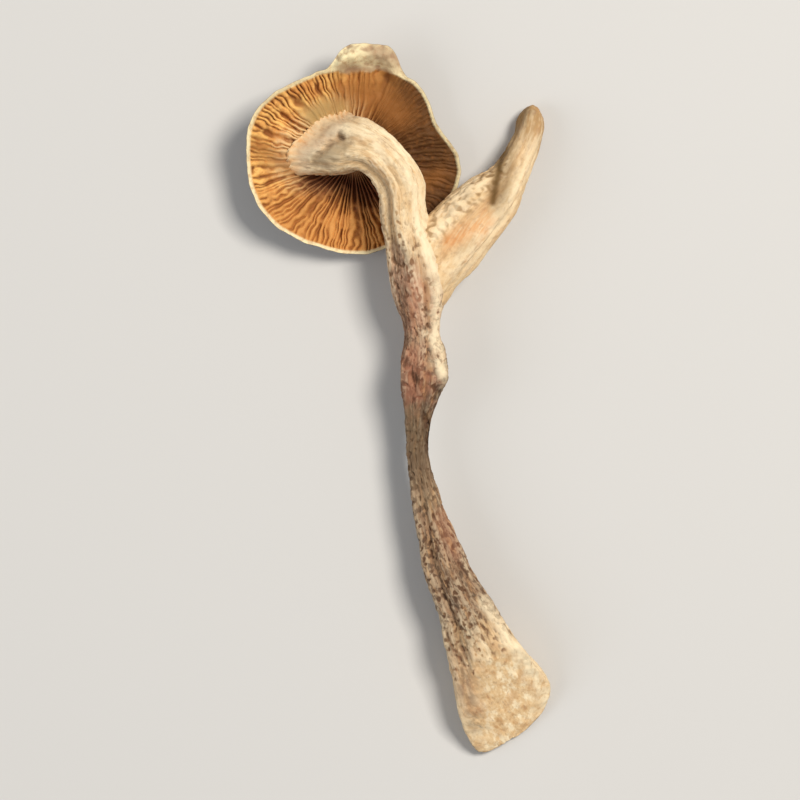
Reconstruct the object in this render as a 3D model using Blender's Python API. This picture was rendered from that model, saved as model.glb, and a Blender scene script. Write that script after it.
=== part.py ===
"""A dried deer antler mushroom, lying on a surface with the gills of its cap upwards.

Three pieces: the stem, the side branch of its fork, and the cap. Lengths are in millimetres
in the working frame, where X runs across the mushroom, Y from the foot to the cap, and Z up.
The origin of the finished object is under the middle of its box.
"""

import math
from collections import namedtuple

import bpy
import bmesh
from mathutils import Vector

MM = 0.001

# Middle of the finished object's box, in the working frame
ORIGIN_X = 0.195
ORIGIN_Y = -0.035

# Gap between pieces that grew together
GAP = 0.3

# Edges sharper than this stay crisp
SHARP_FROM = math.radians(40)

# A station is one place along a stem: its middle, its half width, how far it rises above
# and drops below the middle, and the direction in plan from its left edge to its right edge
Station = namedtuple("Station", "x y z half_width rise drop side_deg")

# The main stem, from the cut foot to the bent top on the gills
STEM_STATIONS = (
    Station(9.2, -28.3, 0.9, 2.8, 0.7, 0.9, 28),
    Station(9.3, -27.4, 1.2, 3.6, 1.1, 1.3, 28),
    Station(9.1, -25.5, 1.9, 4.1, 1.9, 2.1, 17),
    Station(8.3, -23.1, 2.4, 3.9, 2.5, 2.6, 8),
    Station(6.3, -18.9, 2.7, 2.9, 2.5, 2.5, 9),
    Station(3.6, -12.8, 2.9, 1.9, 1.8, 1.8, 12),
    Station(1.8, -5.6, 3.2, 1.1, 1.1, 1.1, 4),
    Station(1.7, -2.0, 3.4, 1.2, 1.2, 1.2, 0),
    Station(2.0, 1.8, 3.8, 2.0, 1.8, 1.6, 0),
    Station(2.0, 5.3, 4.1, 1.6, 1.5, 1.5, 0),
    Station(1.5, 9.3, 4.5, 2.1, 1.8, 1.7, 0),
    Station(0.5, 14.6, 5.0, 1.8, 1.8, 1.7, 2),
    Station(0.1, 17.7, 5.4, 1.9, 1.7, 1.8, 10),
    Station(-1.6, 20.0, 5.6, 2.0, 1.7, 2.3, 32),
    Station(-3.9, 20.8, 5.0, 2.6, 1.8, 2.9, 52),
    Station(-6.1, 21.3, 3.4, 3.0, 1.2, 2.0, 42),
    Station(-6.6, 21.8, 2.4, 2.8, 0.8, 1.1, 40),
)
STEM_RINGS = 70
STEM_SIDES = 26

# Round a stem, angle 0 is its right edge and a quarter turn its upper face. The main stem has
# two sets of ridges, which wind with it, soft lumps, and one deep fold along its upper face
WIND = 1.6
WIND_RATE = 3.1
WIND_START = 0.4
RIDGES = 6
RIDGE_HEIGHT = 0.07
BROAD_RIDGES = 4
BROAD_RIDGE_HEIGHT = 0.05
LUMP_HEIGHT = 0.05
LUMP_RATES = (19, 41)
FOLD_ANGLE = 1.9
FOLD_WANDER = 0.5
FOLD_WANDER_RATE = 9
FOLD_WIDTH = 0.3
FOLD_DEPTH = 0.22
FOLD_FULL_FROM = 0.15
FOLD_FULL_TO = 0.85

# The side branch, from its root inside the stem to its blunt tip
BRANCH_STATIONS = (
    Station(1.9, 8.2, 4.1, 1.2, 0.9, 0.9, -31),
    Station(2.6, 10.0, 4.2, 2.1, 1.4, 1.4, -31),
    Station(3.9, 12.1, 4.2, 2.7, 1.6, 1.6, -31),
    Station(5.6, 14.5, 4.0, 2.9, 1.6, 1.6, -31),
    Station(7.9, 17.0, 3.4, 2.4, 1.5, 1.5, -31),
    Station(9.4, 18.8, 2.9, 1.6, 1.4, 1.4, -28),
    Station(10.7, 21.5, 2.0, 1.3, 1.3, 1.3, -22),
    Station(11.1, 23.1, 1.3, 1.2, 1.2, 1.5, -18),
    Station(11.3, 24.1, 0.9, 0.7, 0.7, 0.8, -18),
)
BRANCH_RINGS = 28
BRANCH_SIDES = 20

# The branch has ridges and one groove, which starts and ends along it at these shares
BRANCH_RIDGES = 5
BRANCH_RIDGE_HEIGHT = 0.05
GROOVE_ANGLE = 1.75
GROOVE_DRIFT = 0.5
GROOVE_WIDTH = 0.35
GROOVE_DEPTH = 0.25
GROOVE_START = (0.1, 0.4)
GROOVE_END = (0.95, 0.75)

# The oblique knife cut across the upper side of the foot: a point on it, and how it falls
CUT_X = 8.2
CUT_Y = -20.5
CUT_Z = 4.9
CUT_FALL = 0.6
CUT_FALL_X = 0.555
CUT_FALL_Y = -0.832

# The cap, measured from its hub, where the stem grew out of it
HUB_X = -3.7
HUB_Y = 20.0
CAP_RADIUS = 8.4
CAP_STRETCH = 0.7
HUB_HEIGHT = 1.6
RIM_HEIGHT = 3.1
RIM_TILT = 1.9
RIM_HIGH_SIDE_DEG = 140
BOWL_POWER = 1.7
FLESH_AT_HUB = 1.6
FLESH_AT_RIM = 0.5

# The gills, and the plain margin outside them
GILLS = 60
GILL_DEPTH = 0.7
GILL_START = 0.14
GILL_FULL = 0.34
GILL_END_SOFTNESS = 0.08
MARGIN_WIDTH = 0.4

# The stretch of margin that rolled up while drying
ROLL_SIDE_DEG = 79
ROLL_HALF_SPAN_DEG = 31
ROLL_FULL_SPAN_DEG = 11
ROLL_WIDTH = 1.9
ROLL_HEIGHT = 0.8
ROLL_CREST = 0.93
ROLL_CREST_WIDTH = 0.07

# Where the cap's edge is flatter than round: the direction, how far the flat reaches, and how deep it is
FLAT_SIDES = ((19, 20, 1.5), (131, 18, 0.75))

# The waves of the cap's edge, in plan and in height: how many round it, how large, and where they start
EDGE_WAVES = ((3, 0.22, 0.7), (5, 0.16, 2.1))
HEIGHT_WAVES = ((5, 0.2, 1.0), (9, 0.12, 0.0))

# Rings of the cap, as shares of the way from hub to rim: out over the gills, then back under them
GILL_SIDE_SHARES = (0.12, 0.2, 0.3, 0.42, 0.56, 0.7, 0.82, 0.92, 1.0)
SKIN_SIDE_SHARES = (0.97, 0.86, 0.72, 0.56, 0.4, 0.25, 0.12)

# The block that trims the stem where it meets the cap: its rings, its sides and its depth
CLEARANCE_SHARES = (0.05, 0.2, 0.4, 0.6, 0.8, 1.0)
CLEARANCE_SIDES = 48
CLEARANCE_BELOW = -2.0


def clear_scene():
    """Removes every object that the scene starts with."""
    for obj in list(bpy.data.objects):
        bpy.data.objects.remove(obj, do_unlink=True)


def finish(name, colour, roughness):
    """A dry, matt surface."""
    material = bpy.data.materials.new(name)
    material.use_nodes = True
    shader = material.node_tree.nodes["Principled BSDF"]
    shader.inputs["Base Color"].default_value = (*colour, 1.0)
    shader.inputs["Roughness"].default_value = roughness
    shader.inputs["Metallic"].default_value = 0.0
    return material


def ease(low, high, value):
    """0 below low, 1 above high, and a smooth rise between them."""
    share = min(max((value - low) / (high - low), 0.0), 1.0)
    return share * share * (3 - 2 * share)


def hump(middle, width, value):
    """1 at the middle, and a smooth fall to 0 on both sides."""
    return math.exp(-(((value - middle) / width) ** 2))


def waves(turn, rows):
    """Waves round the cap: how many, how large and where each set starts."""
    return sum(size * math.sin(count * turn + start) for count, size, start in rows)


def angle_between(first_deg, second_deg):
    """The smaller angle between two directions, in degrees."""
    return abs((first_deg - second_deg + 180) % 360 - 180)


def through(before, start, end, after, share):
    """A smooth curve from start to end that heads for the values beside them."""
    leave = (end - before) / 2
    arrive = (after - start) / 2
    drop = start - end
    return (
        start
        + leave * share
        + (-3 * drop - 2 * leave - arrive) * share**2
        + (2 * drop + leave + arrive) * share**3
    )


def station_at(stations, share):
    """The station at this share of the way along the whole route."""
    middles = [Vector(station[:3]) for station in stations]
    reach = [0.0]
    for here, there in zip(middles, middles[1:]):
        reach.append(reach[-1] + (there - here).length)
    wanted = share * reach[-1]
    last = len(stations) - 1
    k = 0
    while k < last - 1 and reach[k + 1] < wanted:
        k += 1
    inner = (wanted - reach[k]) / (reach[k + 1] - reach[k])
    around = (stations[max(k - 1, 0)], stations[k], stations[k + 1], stations[min(k + 2, last)])
    return Station(*(through(*column, inner) for column in zip(*around)))


def skin_rings(stations, count, sides, swell, trim, extra=0.0):
    """The rings of points that a stem's skin is stretched over."""
    rings = []
    step = 1 / count
    for i in range(count + 1):
        share = i / count
        here = station_at(stations, share)
        before = Vector(station_at(stations, max(share - step, 0.0))[:3])
        after = Vector(station_at(stations, min(share + step, 1.0))[:3])
        turn = math.radians(here.side_deg)
        side = Vector((math.cos(turn), math.sin(turn), 0.0))
        up = side.cross(after - before).normalized()
        ring = []
        for k in range(sides):
            angle = 2 * math.pi * k / sides
            depth = here.rise if math.sin(angle) > 0 else here.drop
            size = swell(share, angle)
            point = Vector(here[:3])
            point += side * (here.half_width * size + extra) * math.cos(angle)
            point += up * (depth * size + extra) * math.sin(angle)
            ring.append(trim(point, Vector(here[:3]), extra))
        rings.append(ring)
    return rings


def stem_swell(share, angle):
    """The stem's lengthwise ridges, which wind a little, and one deep fold along its upper face."""
    wind = WIND * math.sin(WIND_RATE * share + WIND_START)
    ridges = RIDGE_HEIGHT * math.cos(RIDGES * angle + 2.5 * wind)
    ridges += BROAD_RIDGE_HEIGHT * math.cos(BROAD_RIDGES * angle - 3 * wind + 1.0)
    fast, slow = LUMP_RATES
    lumps = LUMP_HEIGHT * math.sin(fast * share + 2 * math.cos(angle)) * math.sin(slow * share + 1.3)
    fold_angle = FOLD_ANGLE + FOLD_WANDER * math.sin(FOLD_WANDER_RATE * share)
    fold = hump(fold_angle, FOLD_WIDTH, angle)
    fold *= ease(0.0, FOLD_FULL_FROM, share) * ease(1.0, FOLD_FULL_TO, share)
    return 1 + ridges + lumps - FOLD_DEPTH * fold


def branch_swell(share, angle):
    """The branch's ridges, with a groove between its pitted left face and smooth right one."""
    ridges = BRANCH_RIDGE_HEIGHT * math.cos(BRANCH_RIDGES * angle + 2 * share + 0.6)
    groove = hump(GROOVE_ANGLE - GROOVE_DRIFT * share, GROOVE_WIDTH, angle)
    groove *= ease(*GROOVE_START, share) * ease(*GROOVE_END, share)
    return 1 + ridges - GROOVE_DEPTH * groove


def rest(point, extra):
    """The underside lies flat on the surface."""
    point.z = max(point.z, -extra)
    return point


def trim_branch(point, middle, extra):
    """The underside of the tip lies flat on the surface."""
    return rest(point, extra)


def cut_height(x, y):
    """The height of the knife cut above this place."""
    return CUT_Z - CUT_FALL * ((x - CUT_X) * CUT_FALL_X + (y - CUT_Y) * CUT_FALL_Y)


def trim_stem(point, middle, extra):
    """What lies above the knife cut moves onto it, straight towards the lower core of the foot."""
    above = point.z - cut_height(point.x, point.y) - extra
    if above > 0:
        core = middle.copy()
        core.z = min(middle.z, cut_height(middle.x, middle.y)) / 2
        below = cut_height(core.x, core.y) + extra - core.z
        point = core + (point - core) * (below / (below + above))
    return rest(point, extra)


def rolled(side_deg):
    """How far the margin is rolled up in this direction, from 0 to 1."""
    return ease(ROLL_HALF_SPAN_DEG, ROLL_FULL_SPAN_DEG, angle_between(side_deg, ROLL_SIDE_DEG))


def rim_radius(side_deg):
    """From the hub to the edge of the cap, in plan."""
    turn = math.radians(side_deg)
    stretch = CAP_STRETCH * math.cos(2 * turn)
    flats = sum(depth * hump(0.0, reach, angle_between(side_deg, side)) for side, reach, depth in FLAT_SIDES)
    return CAP_RADIUS + stretch + waves(turn, EDGE_WAVES) + ROLL_WIDTH * rolled(side_deg) - flats


def rim_height(side_deg):
    """The height of the cap's edge: high on the side that curled up, low under the stem."""
    turn = math.radians(side_deg)
    tilt = RIM_TILT * math.cos(turn - math.radians(RIM_HIGH_SIDE_DEG))
    return RIM_HEIGHT + tilt + waves(turn, HEIGHT_WAVES)


def gill_face_height(share, side_deg):
    """The height of the gills' edges, at a share of the way from hub to rim."""
    bowl = HUB_HEIGHT + (rim_height(side_deg) - HUB_HEIGHT) * share**BOWL_POWER
    return bowl + ROLL_HEIGHT * rolled(side_deg) * hump(ROLL_CREST, ROLL_CREST_WIDTH, share)


def flesh_thickness(share):
    """From the gills' edges down to the skin."""
    return FLESH_AT_RIM + (FLESH_AT_HUB - FLESH_AT_RIM) * math.sqrt(max(1 - share**2, 0.0))


def gill_depth(share, side_deg):
    """How deep the spaces between the gills are: nothing at the hub and on the margin."""
    margin = (MARGIN_WIDTH + ROLL_WIDTH * rolled(side_deg)) / rim_radius(side_deg)
    gilled = ease(GILL_START, GILL_FULL, share) * ease(1 - margin, 1 - GILL_END_SOFTNESS - margin, share)
    return GILL_DEPTH * gilled


def cap_point(share, side_deg, height):
    """A point of the cap, from its share of the radius, its direction and its height."""
    turn = math.radians(side_deg)
    radius = share * rim_radius(side_deg)
    return Vector((HUB_X + radius * math.cos(turn), HUB_Y + radius * math.sin(turn), height))


def cap_rings():
    """Out over the gills to the rim, then back under the cap over its skin."""
    steps = 2 * GILLS
    rings = []
    for share in GILL_SIDE_SHARES:
        ring = []
        for k in range(steps):
            side_deg = 360 * k / steps
            height = gill_face_height(share, side_deg)
            if k % 2:
                height -= gill_depth(share, side_deg)
            ring.append(cap_point(share, side_deg, height))
        rings.append(ring)
    for share in SKIN_SIDE_SHARES:
        ring = []
        for k in range(steps):
            side_deg = 360 * k / steps
            height = gill_face_height(share, side_deg) - flesh_thickness(share)
            ring.append(cap_point(share, side_deg, max(height, 0.0)))
        rings.append(ring)
    return rings


def cap_clearance_rings():
    """A plain block a gap higher than the gills' edges, to trim the stem where it meets them."""
    angles = [360 * k / CLEARANCE_SIDES for k in range(CLEARANCE_SIDES)]
    rings = []
    for share in CLEARANCE_SHARES:
        rings.append([cap_point(share, a, gill_face_height(share, a) + GAP) for a in angles])
    for share in (CLEARANCE_SHARES[-1], CLEARANCE_SHARES[0]):
        rings.append([cap_point(share, a, CLEARANCE_BELOW) for a in angles])
    return rings


def body_from_rings(name, rings, material):
    """Stretches a closed skin over the rings and closes it at both ends."""
    bm = bmesh.new()
    origin = Vector((ORIGIN_X, ORIGIN_Y, 0.0))
    loops = [[bm.verts.new((point - origin) * MM) for point in ring] for ring in rings]
    for lower, upper in zip(loops, loops[1:]):
        for k in range(len(lower)):
            bm.faces.new((lower[k], lower[k - 1], upper[k - 1], upper[k]))
    ends = [bm.faces.new(loops[0]), bm.faces.new(reversed(loops[-1]))]
    bmesh.ops.poke(bm, faces=ends)
    mesh = bpy.data.meshes.new(name)
    bm.to_mesh(mesh)
    bm.free()
    mesh.materials.append(material)
    mesh.shade_smooth()
    mesh.set_sharp_from_angle(angle=SHARP_FROM)
    obj = bpy.data.objects.new(name, mesh)
    bpy.context.scene.collection.objects.link(obj)
    return obj


def as_cutter(obj):
    """A helper that only trims its neighbour."""
    obj.hide_render = True
    obj.display_type = "WIRE"
    return obj


def trim_with(obj, cutter):
    """Takes the cutter's space away from the object."""
    modifier = obj.modifiers.new("clear of " + cutter.name, "BOOLEAN")
    modifier.operation = "DIFFERENCE"
    modifier.solver = "EXACT"
    modifier.object = cutter


def make_cap():
    flesh = finish("cap flesh", (0.45, 0.25, 0.10), 0.85)
    clearance = as_cutter(body_from_rings("cap_clearance", cap_clearance_rings(), flesh))
    return body_from_rings("cap", cap_rings(), flesh), clearance


def make_stem(cap_clearance):
    skin = finish("stem skin", (0.55, 0.42, 0.26), 0.8)
    rings = skin_rings(STEM_STATIONS, STEM_RINGS, STEM_SIDES, stem_swell, trim_stem)
    stem = body_from_rings("stem", rings, skin)
    trim_with(stem, cap_clearance)
    wider = skin_rings(STEM_STATIONS, STEM_RINGS, STEM_SIDES, stem_swell, trim_stem, GAP)
    return stem, as_cutter(body_from_rings("stem_clearance", wider, skin))


def make_side_branch(stem_clearance):
    skin = finish("side branch skin", (0.62, 0.48, 0.28), 0.8)
    rings = skin_rings(BRANCH_STATIONS, BRANCH_RINGS, BRANCH_SIDES, branch_swell, trim_branch)
    branch = body_from_rings("side_branch", rings, skin)
    trim_with(branch, stem_clearance)
    return branch


def main():
    clear_scene()
    cap, cap_clearance = make_cap()
    stem, stem_clearance = make_stem(cap_clearance)
    branch = make_side_branch(stem_clearance)
    mushroom = bpy.data.objects.new("mushroom", None)
    bpy.context.scene.collection.objects.link(mushroom)
    for piece in (cap, stem, branch):
        piece.parent = mushroom


main()
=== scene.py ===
# %% [markdown]
# A dried deer antler mushroom, finished for its picture.
# The mushroom is about 59 mm long: a flared foot with a knife cut, a thin neck, a knuckle, a fork with
# one short branch, and a bent top that flares onto the gills of a small cap. The solids are already
# made and packed. This lesson dresses them: it makes a fine wrinkled skin for each piece, in the same
# place, and gives it a finish.

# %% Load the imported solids
import math
from collections import namedtuple

import bpy
import numpy as np
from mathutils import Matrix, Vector
from mathutils.bvhtree import BVHTree


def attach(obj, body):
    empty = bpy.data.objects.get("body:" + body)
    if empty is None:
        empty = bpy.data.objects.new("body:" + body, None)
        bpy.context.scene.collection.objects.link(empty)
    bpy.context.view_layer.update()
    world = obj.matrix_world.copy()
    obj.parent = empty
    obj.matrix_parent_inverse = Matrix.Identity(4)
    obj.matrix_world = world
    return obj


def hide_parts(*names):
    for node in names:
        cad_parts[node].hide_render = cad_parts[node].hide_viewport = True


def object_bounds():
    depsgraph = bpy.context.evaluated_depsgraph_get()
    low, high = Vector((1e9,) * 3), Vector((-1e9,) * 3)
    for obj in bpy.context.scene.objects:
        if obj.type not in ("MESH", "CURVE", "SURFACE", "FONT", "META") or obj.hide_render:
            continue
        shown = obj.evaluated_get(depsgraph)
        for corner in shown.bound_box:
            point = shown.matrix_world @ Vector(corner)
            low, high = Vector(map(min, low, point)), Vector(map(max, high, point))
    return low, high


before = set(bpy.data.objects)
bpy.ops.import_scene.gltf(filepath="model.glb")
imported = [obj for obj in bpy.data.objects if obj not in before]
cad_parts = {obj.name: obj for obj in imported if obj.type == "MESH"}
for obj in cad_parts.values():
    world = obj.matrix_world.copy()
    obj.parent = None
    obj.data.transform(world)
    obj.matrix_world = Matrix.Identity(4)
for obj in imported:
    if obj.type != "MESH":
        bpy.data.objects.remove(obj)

cad_low, cad_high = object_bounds()
print("solids:", sorted(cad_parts))
print("box in mm:", [round(1000 * side, 1) for side in cad_high - cad_low])

# %% [markdown]
# The shapes below are worked out in millimetres in a working frame: X across the mushroom, Y from foot
# to cap, Z up. The origin of the finished part is under the middle of its box, so the working frame is
# shifted to it.

# %% Working frame
MM = 0.001
ORIGIN = np.array((0.195, -0.035, 0.0))


def ease(low, high, value):
    """0 at low, 1 at high, and a smooth rise between them."""
    share = np.clip((value - low) / (high - low), 0.0, 1.0)
    return share * share * (3 - 2 * share)


def hump(middle, width, value):
    """1 at the middle, and a smooth fall to 0 on both sides."""
    return np.exp(-(((value - middle) / width) ** 2))


print("the finished origin lies at", ORIGIN, "mm in the working frame")

# %% [markdown]
# Nothing that dried is regular. Smooth random hills, made by fixing a random slope at each corner of a
# grid of cubes and blending between them, are the raw material for wrinkles, lumps and pits. The seed
# makes them the same each time. Where the hills cross zero a sharp valley can be cut, and such valleys
# look like folds of dried skin.

# %% Random hills and folds
SLOPES = 256
HILL_HEIGHT = 1.6


def hills(x, y, z, seed):
    """Smooth random hills about one unit apart, between about -1 and 1."""
    rng = np.random.default_rng(seed)
    order = rng.permutation(SLOPES)
    slopes = rng.normal(size=(SLOPES, 3))
    slopes /= np.linalg.norm(slopes, axis=1)[:, None]
    place = np.broadcast_arrays(x, y, z)
    corner = [np.floor(axis).astype(int) for axis in place]
    inner = [axis - base for axis, base in zip(place, corner)]
    blend = [t**3 * (t * (6 * t - 15) + 10) for t in inner]
    total = np.zeros(place[0].shape)
    for step in np.ndindex(2, 2, 2):
        pick = order[(corner[0] + step[0]) % SLOPES]
        pick = order[(pick + corner[1] + step[1]) % SLOPES]
        slope = slopes[order[(pick + corner[2] + step[2]) % SLOPES]]
        height = sum(slope[..., n] * (inner[n] - step[n]) for n in range(3))
        weight = math.prod(blend[n] if step[n] else 1 - blend[n] for n in range(3))
        total += weight * height
    return HILL_HEIGHT * total


def layered(x, y, z, seed, layers):
    """Hills on hills, each layer half the size and half the height of the last."""
    return sum(hills(x * 2**n, y * 2**n, z * 2**n, seed + n) / 2**n for n in range(layers))


def creases(x, y, z, seed, sharpness=7.0):
    """Sharp valleys of depth 1 where the hills cross zero, with rounded crests between them."""
    return np.exp(-sharpness * np.abs(hills(x, y, z, seed)))


trial = hills(np.linspace(0, 100, 1000), 0.3, 0.6, 1)
print("hills reach from", round(float(trial.min()), 2), "to", round(float(trial.max()), 2))

# %% [markdown]
# A stem is a skin stretched over rings. Each station gives a ring's middle, its half width, how far it
# rises above and drops below the middle, and the direction from its left edge to its right edge. A
# smooth curve runs through the stations, so a few of them are enough. They repeat the solids' own, so
# that the skin lies where they are.

# %% A skin over stations
Station = namedtuple("Station", "x y z half_width rise drop side_deg")


def through(before, start, end, after, share):
    """A smooth curve from start to end that heads for the values beside them."""
    leave = (end - before) / 2
    arrive = (after - start) / 2
    drop = start - end
    cubic = 2 * drop + leave + arrive
    return start + leave * share + (-3 * drop - 2 * leave - arrive) * share**2 + cubic * share**3


def stations_along(stations, shares):
    """The stations at these shares of the way along the whole route, and the route's length."""
    rows = np.array(stations, dtype=float)
    steps = np.linalg.norm(np.diff(rows[:, :3], axis=0), axis=1)
    reach = np.concatenate(([0.0], np.cumsum(steps)))
    wanted = shares * reach[-1]
    last = len(rows) - 1
    k = np.clip(np.searchsorted(reach, wanted) - 1, 0, last - 1)
    inner = ((wanted - reach[k]) / steps[k])[:, None]
    made = through(rows[np.maximum(k - 1, 0)], rows[k], rows[k + 1], rows[np.minimum(k + 2, last)], inner)
    return made, reach[-1]


class Skin:
    """A grid of places on a stem: shares of the way along it, and angles round it from its right edge."""

    def __init__(self, stations, rings, sides):
        self.share = np.linspace(0, 1, rings + 1)[:, None]
        self.angle = np.linspace(0, 2 * math.pi, sides, endpoint=False)[None, :]
        self.rows, self.length = stations_along(stations, self.share[:, 0])
        self.middle = self.rows[:, None, :3]
        self.girth = ((self.rows[:, 3] + self.rows[:, 4]) / 2)[:, None]
        grain = (self.girth * np.cos(self.angle), self.girth * np.sin(self.angle), self.share * self.length)
        self.grain = np.stack(np.broadcast_arrays(*grain), axis=-1)

    def across(self, over, along, make, seed, *rest):
        """Random hills in the skin's own millimetres, with their own scale round the stem and along it."""
        x, y, z = (self.grain[..., n] for n in range(3))
        return make(over * x, over * y, along * z, seed, *rest)

    def from_angle(self, middle_deg):
        """How far round the stem a place is from this angle, in degrees."""
        return (np.degrees(self.angle) - middle_deg + 180) % 360 - 180

    def points(self, size, relief):
        """The skin's points: size stretches each ring, and relief lifts the skin by millimetres."""
        heading = np.gradient(self.rows[:, :3], axis=0)
        turn = np.radians(self.rows[:, 6])
        side = np.stack((np.cos(turn), np.sin(turn), np.zeros_like(turn)), axis=1)
        up = np.cross(side, heading)
        up /= np.linalg.norm(up, axis=1)[:, None]
        depth = np.where(np.sin(self.angle) > 0, self.rows[:, 4:5], self.rows[:, 5:6])
        sideways = (self.rows[:, 3:4] * size + relief) * np.cos(self.angle)
        upwards = (depth * size + relief) * np.sin(self.angle)
        return self.middle + side[:, None] * sideways[..., None] + up[:, None] * upwards[..., None]


# %% [markdown]
# Some marks sit at one known place, such as the groove on the branch or the pit beside the gills. They
# are strokes of a brush, seen from above: a route of a few points in the working frame, a width and a
# strength. The same stroke can press the skin in or lay a colour on it, and it only reaches the upper
# side.

# %% Strokes
Stroke = namedtuple("Stroke", "width strength route")


def outward(points):
    """The direction in which the skin faces at each point of a grid."""
    around = np.roll(points, -1, axis=1) - np.roll(points, 1, axis=1)
    along = np.gradient(points, axis=0)
    facing = np.cross(along, around)
    return facing / np.maximum(np.linalg.norm(facing, axis=2), 1e-9)[..., None]


def away_from(points, route):
    """How far each point is from a route, seen from above."""
    place = points[..., :2]
    nearest = np.full(place.shape[:2], np.inf)
    for start, end in zip(np.array(route[:-1], float), np.array(route[1:], float)):
        run = end - start
        share = np.clip((place - start) @ run / (run @ run), 0.0, 1.0)
        nearest = np.minimum(nearest, np.linalg.norm(place - start - share[..., None] * run, axis=2))
    return nearest


def laid(points, strokes, uneven):
    """All the strokes together. Their edges wander where uneven is more or less than 1."""
    total = 0.0
    for stroke in strokes:
        share = hump(0.0, stroke.width, away_from(points, stroke.route) * uneven)
        total = np.maximum(total, stroke.strength * share)
    return total


def brushed(points, strokes, wobble, seed):
    """All the strokes together on the upper side, with uneven edges."""
    uneven = 1 + wobble * layered(1.3 * points[..., 0], 1.3 * points[..., 1], 0.5, seed, 3)
    return laid(points, strokes, uneven) * ease(-0.1, 0.25, outward(points)[..., 2])


# %% [markdown]
# Strokes change the shape too. If each point moved along its own normal, every pit would grow into a
# spike, because the normals of a bumpy skin point everywhere. So a raised place follows the normals of
# a smoothed copy of the skin, and a pressed place goes straight down, which keeps the two sides of a
# groove from crossing.

# %% Raising and pressing a skin
FORM_ROUNDS = 40


def smoothed(field, rounds):
    """The field with its small detail averaged away. It wraps round the rings and stops at the ends."""
    for _ in range(rounds):
        field = (field + np.roll(field, 1, axis=1) + np.roll(field, -1, axis=1)) / 3
        padded = np.concatenate((field[:1], field, field[-1:]))
        field = (padded[:-2] + padded[1:-1] + padded[2:]) / 3
    return field


def swell(points, height):
    """Moves the skin outwards by this many millimetres, as its smooth form faces."""
    return points + outward(smoothed(points, FORM_ROUNDS)) * height[..., None]


def sink(points, depth):
    """Moves the skin straight down by this many millimetres, so that a groove's sides never cross."""
    return points - depth[..., None] * np.array((0.0, 0.0, 1.0))


# %% [markdown]
# So far a skin is a tube that is open at both ends. A flat lid would look like a cut pipe, so each end
# is closed by rings that shrink towards its middle, bulge a little and are rough, as the end of dried
# flesh is.

# %% Closing the ends of a skin
# The sizes of the rings that close an end, from the innermost to the outermost
END_STEPS = (0.12, 0.3, 0.48, 0.66, 0.8, 0.92)


def close_ends(points, bulge, roughness, seed):
    """Adds rings that run in to the middle of both ends, bulging and rough."""
    closed = [points]
    # The first ring and the last, each with one further in that shows which way the skin runs
    for last, inside in ((0, 4), (-1, -5)):
        ring = points[last]
        middle = ring.mean(axis=0)
        forward = middle - points[inside].mean(axis=0)
        forward /= np.linalg.norm(forward)
        inner = []
        for step in END_STEPS:
            made = middle + (ring - middle) * step
            x, y, z = 2.4 * made.T
            lift = roughness * layered(x, y, z, seed, 3) * (1 - step**4) + bulge * (1 - step**2)
            inner.append(made + forward * lift[:, None])
        inner = np.array(inner)
        closed = [inner] + closed if last == 0 else closed + [inner[::-1]]
    return np.concatenate(closed)


def with_ends(field):
    """Repeats a field's first and last rings for the rings that close the ends."""
    first = np.repeat(field[:1], len(END_STEPS), axis=0)
    last = np.repeat(field[-1:], len(END_STEPS), axis=0)
    return np.concatenate((first, field, last))


# %% [markdown]
# The finish needs to know where the skin is folded in, because it paints shade into the folds and a
# highlight on the crests. So the relief is compared with a smoothed copy of itself, and the difference is
# kept on the mesh under a name that the finish can read. The same way of keeping numbers carries every
# stroke of colour.

# %% Meshes that remember numbers
CREASE_ROUNDS = 12


def sunk_in(relief):
    """How far each place lies below the skin around it, in millimetres."""
    return smoothed(relief, CREASE_ROUNDS) - relief


def ring_faces(rings, sides):
    """Numbers the points of a grid of rings, and gives the corners of each face between two rings."""
    index = np.arange(rings * sides).reshape(rings, sides)
    around = np.roll(index, -1, axis=1)
    quads = np.stack((around[:-1], index[:-1], index[1:], around[1:]), axis=-1).reshape(-1, 4)
    return index, around, quads


def make_piece(name, points, marks, grains):
    """One closed mesh from rings of points, which keeps each mark's number and each grain's place."""
    rings, sides = points.shape[:2]
    index, around, quads = ring_faces(rings, sides)
    ends = np.stack((points[0].mean(axis=0), points[-1].mean(axis=0)))
    first, last = rings * sides, rings * sides + 1
    fans = [(first, int(a), int(b)) for a, b in zip(index[0], around[0])]
    fans += [(last, int(b), int(a)) for a, b in zip(index[-1], around[-1])]
    corners = (np.concatenate((points.reshape(-1, 3), ends)) - ORIGIN) * MM
    mesh = bpy.data.meshes.new("mushroom_" + name)
    mesh.from_pydata(corners.tolist(), [], quads.tolist() + fans)
    for mark, field in marks.items():
        field = np.broadcast_to(field, (rings, sides))
        kept = mesh.attributes.new(mark, "FLOAT", "POINT")
        kept.data.foreach_set("value", np.append(field.ravel(), (field[0].mean(), field[-1].mean())))
    for grain, places in grains.items():
        kept = mesh.attributes.new(grain, "FLOAT_VECTOR", "POINT")
        places = np.concatenate((places.reshape(-1, 3), places[0, :1], places[-1, :1]))
        kept.data.foreach_set("vector", places.ravel())
    mesh.shade_smooth()
    piece = bpy.data.objects.new("mushroom_" + name, mesh)
    bpy.context.scene.collection.objects.link(piece)
    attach(piece, "root")
    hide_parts(name)
    print(piece.name, "has", 2 * len(quads) + len(fans), "triangles")
    return piece


# %% [markdown]
# The main stem is one limb from end to end. Its stations run from the cut foot through the thin neck
# and the knuckle to the fork, and on through the bend to the flared mouth that lies on the gills.

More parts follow.
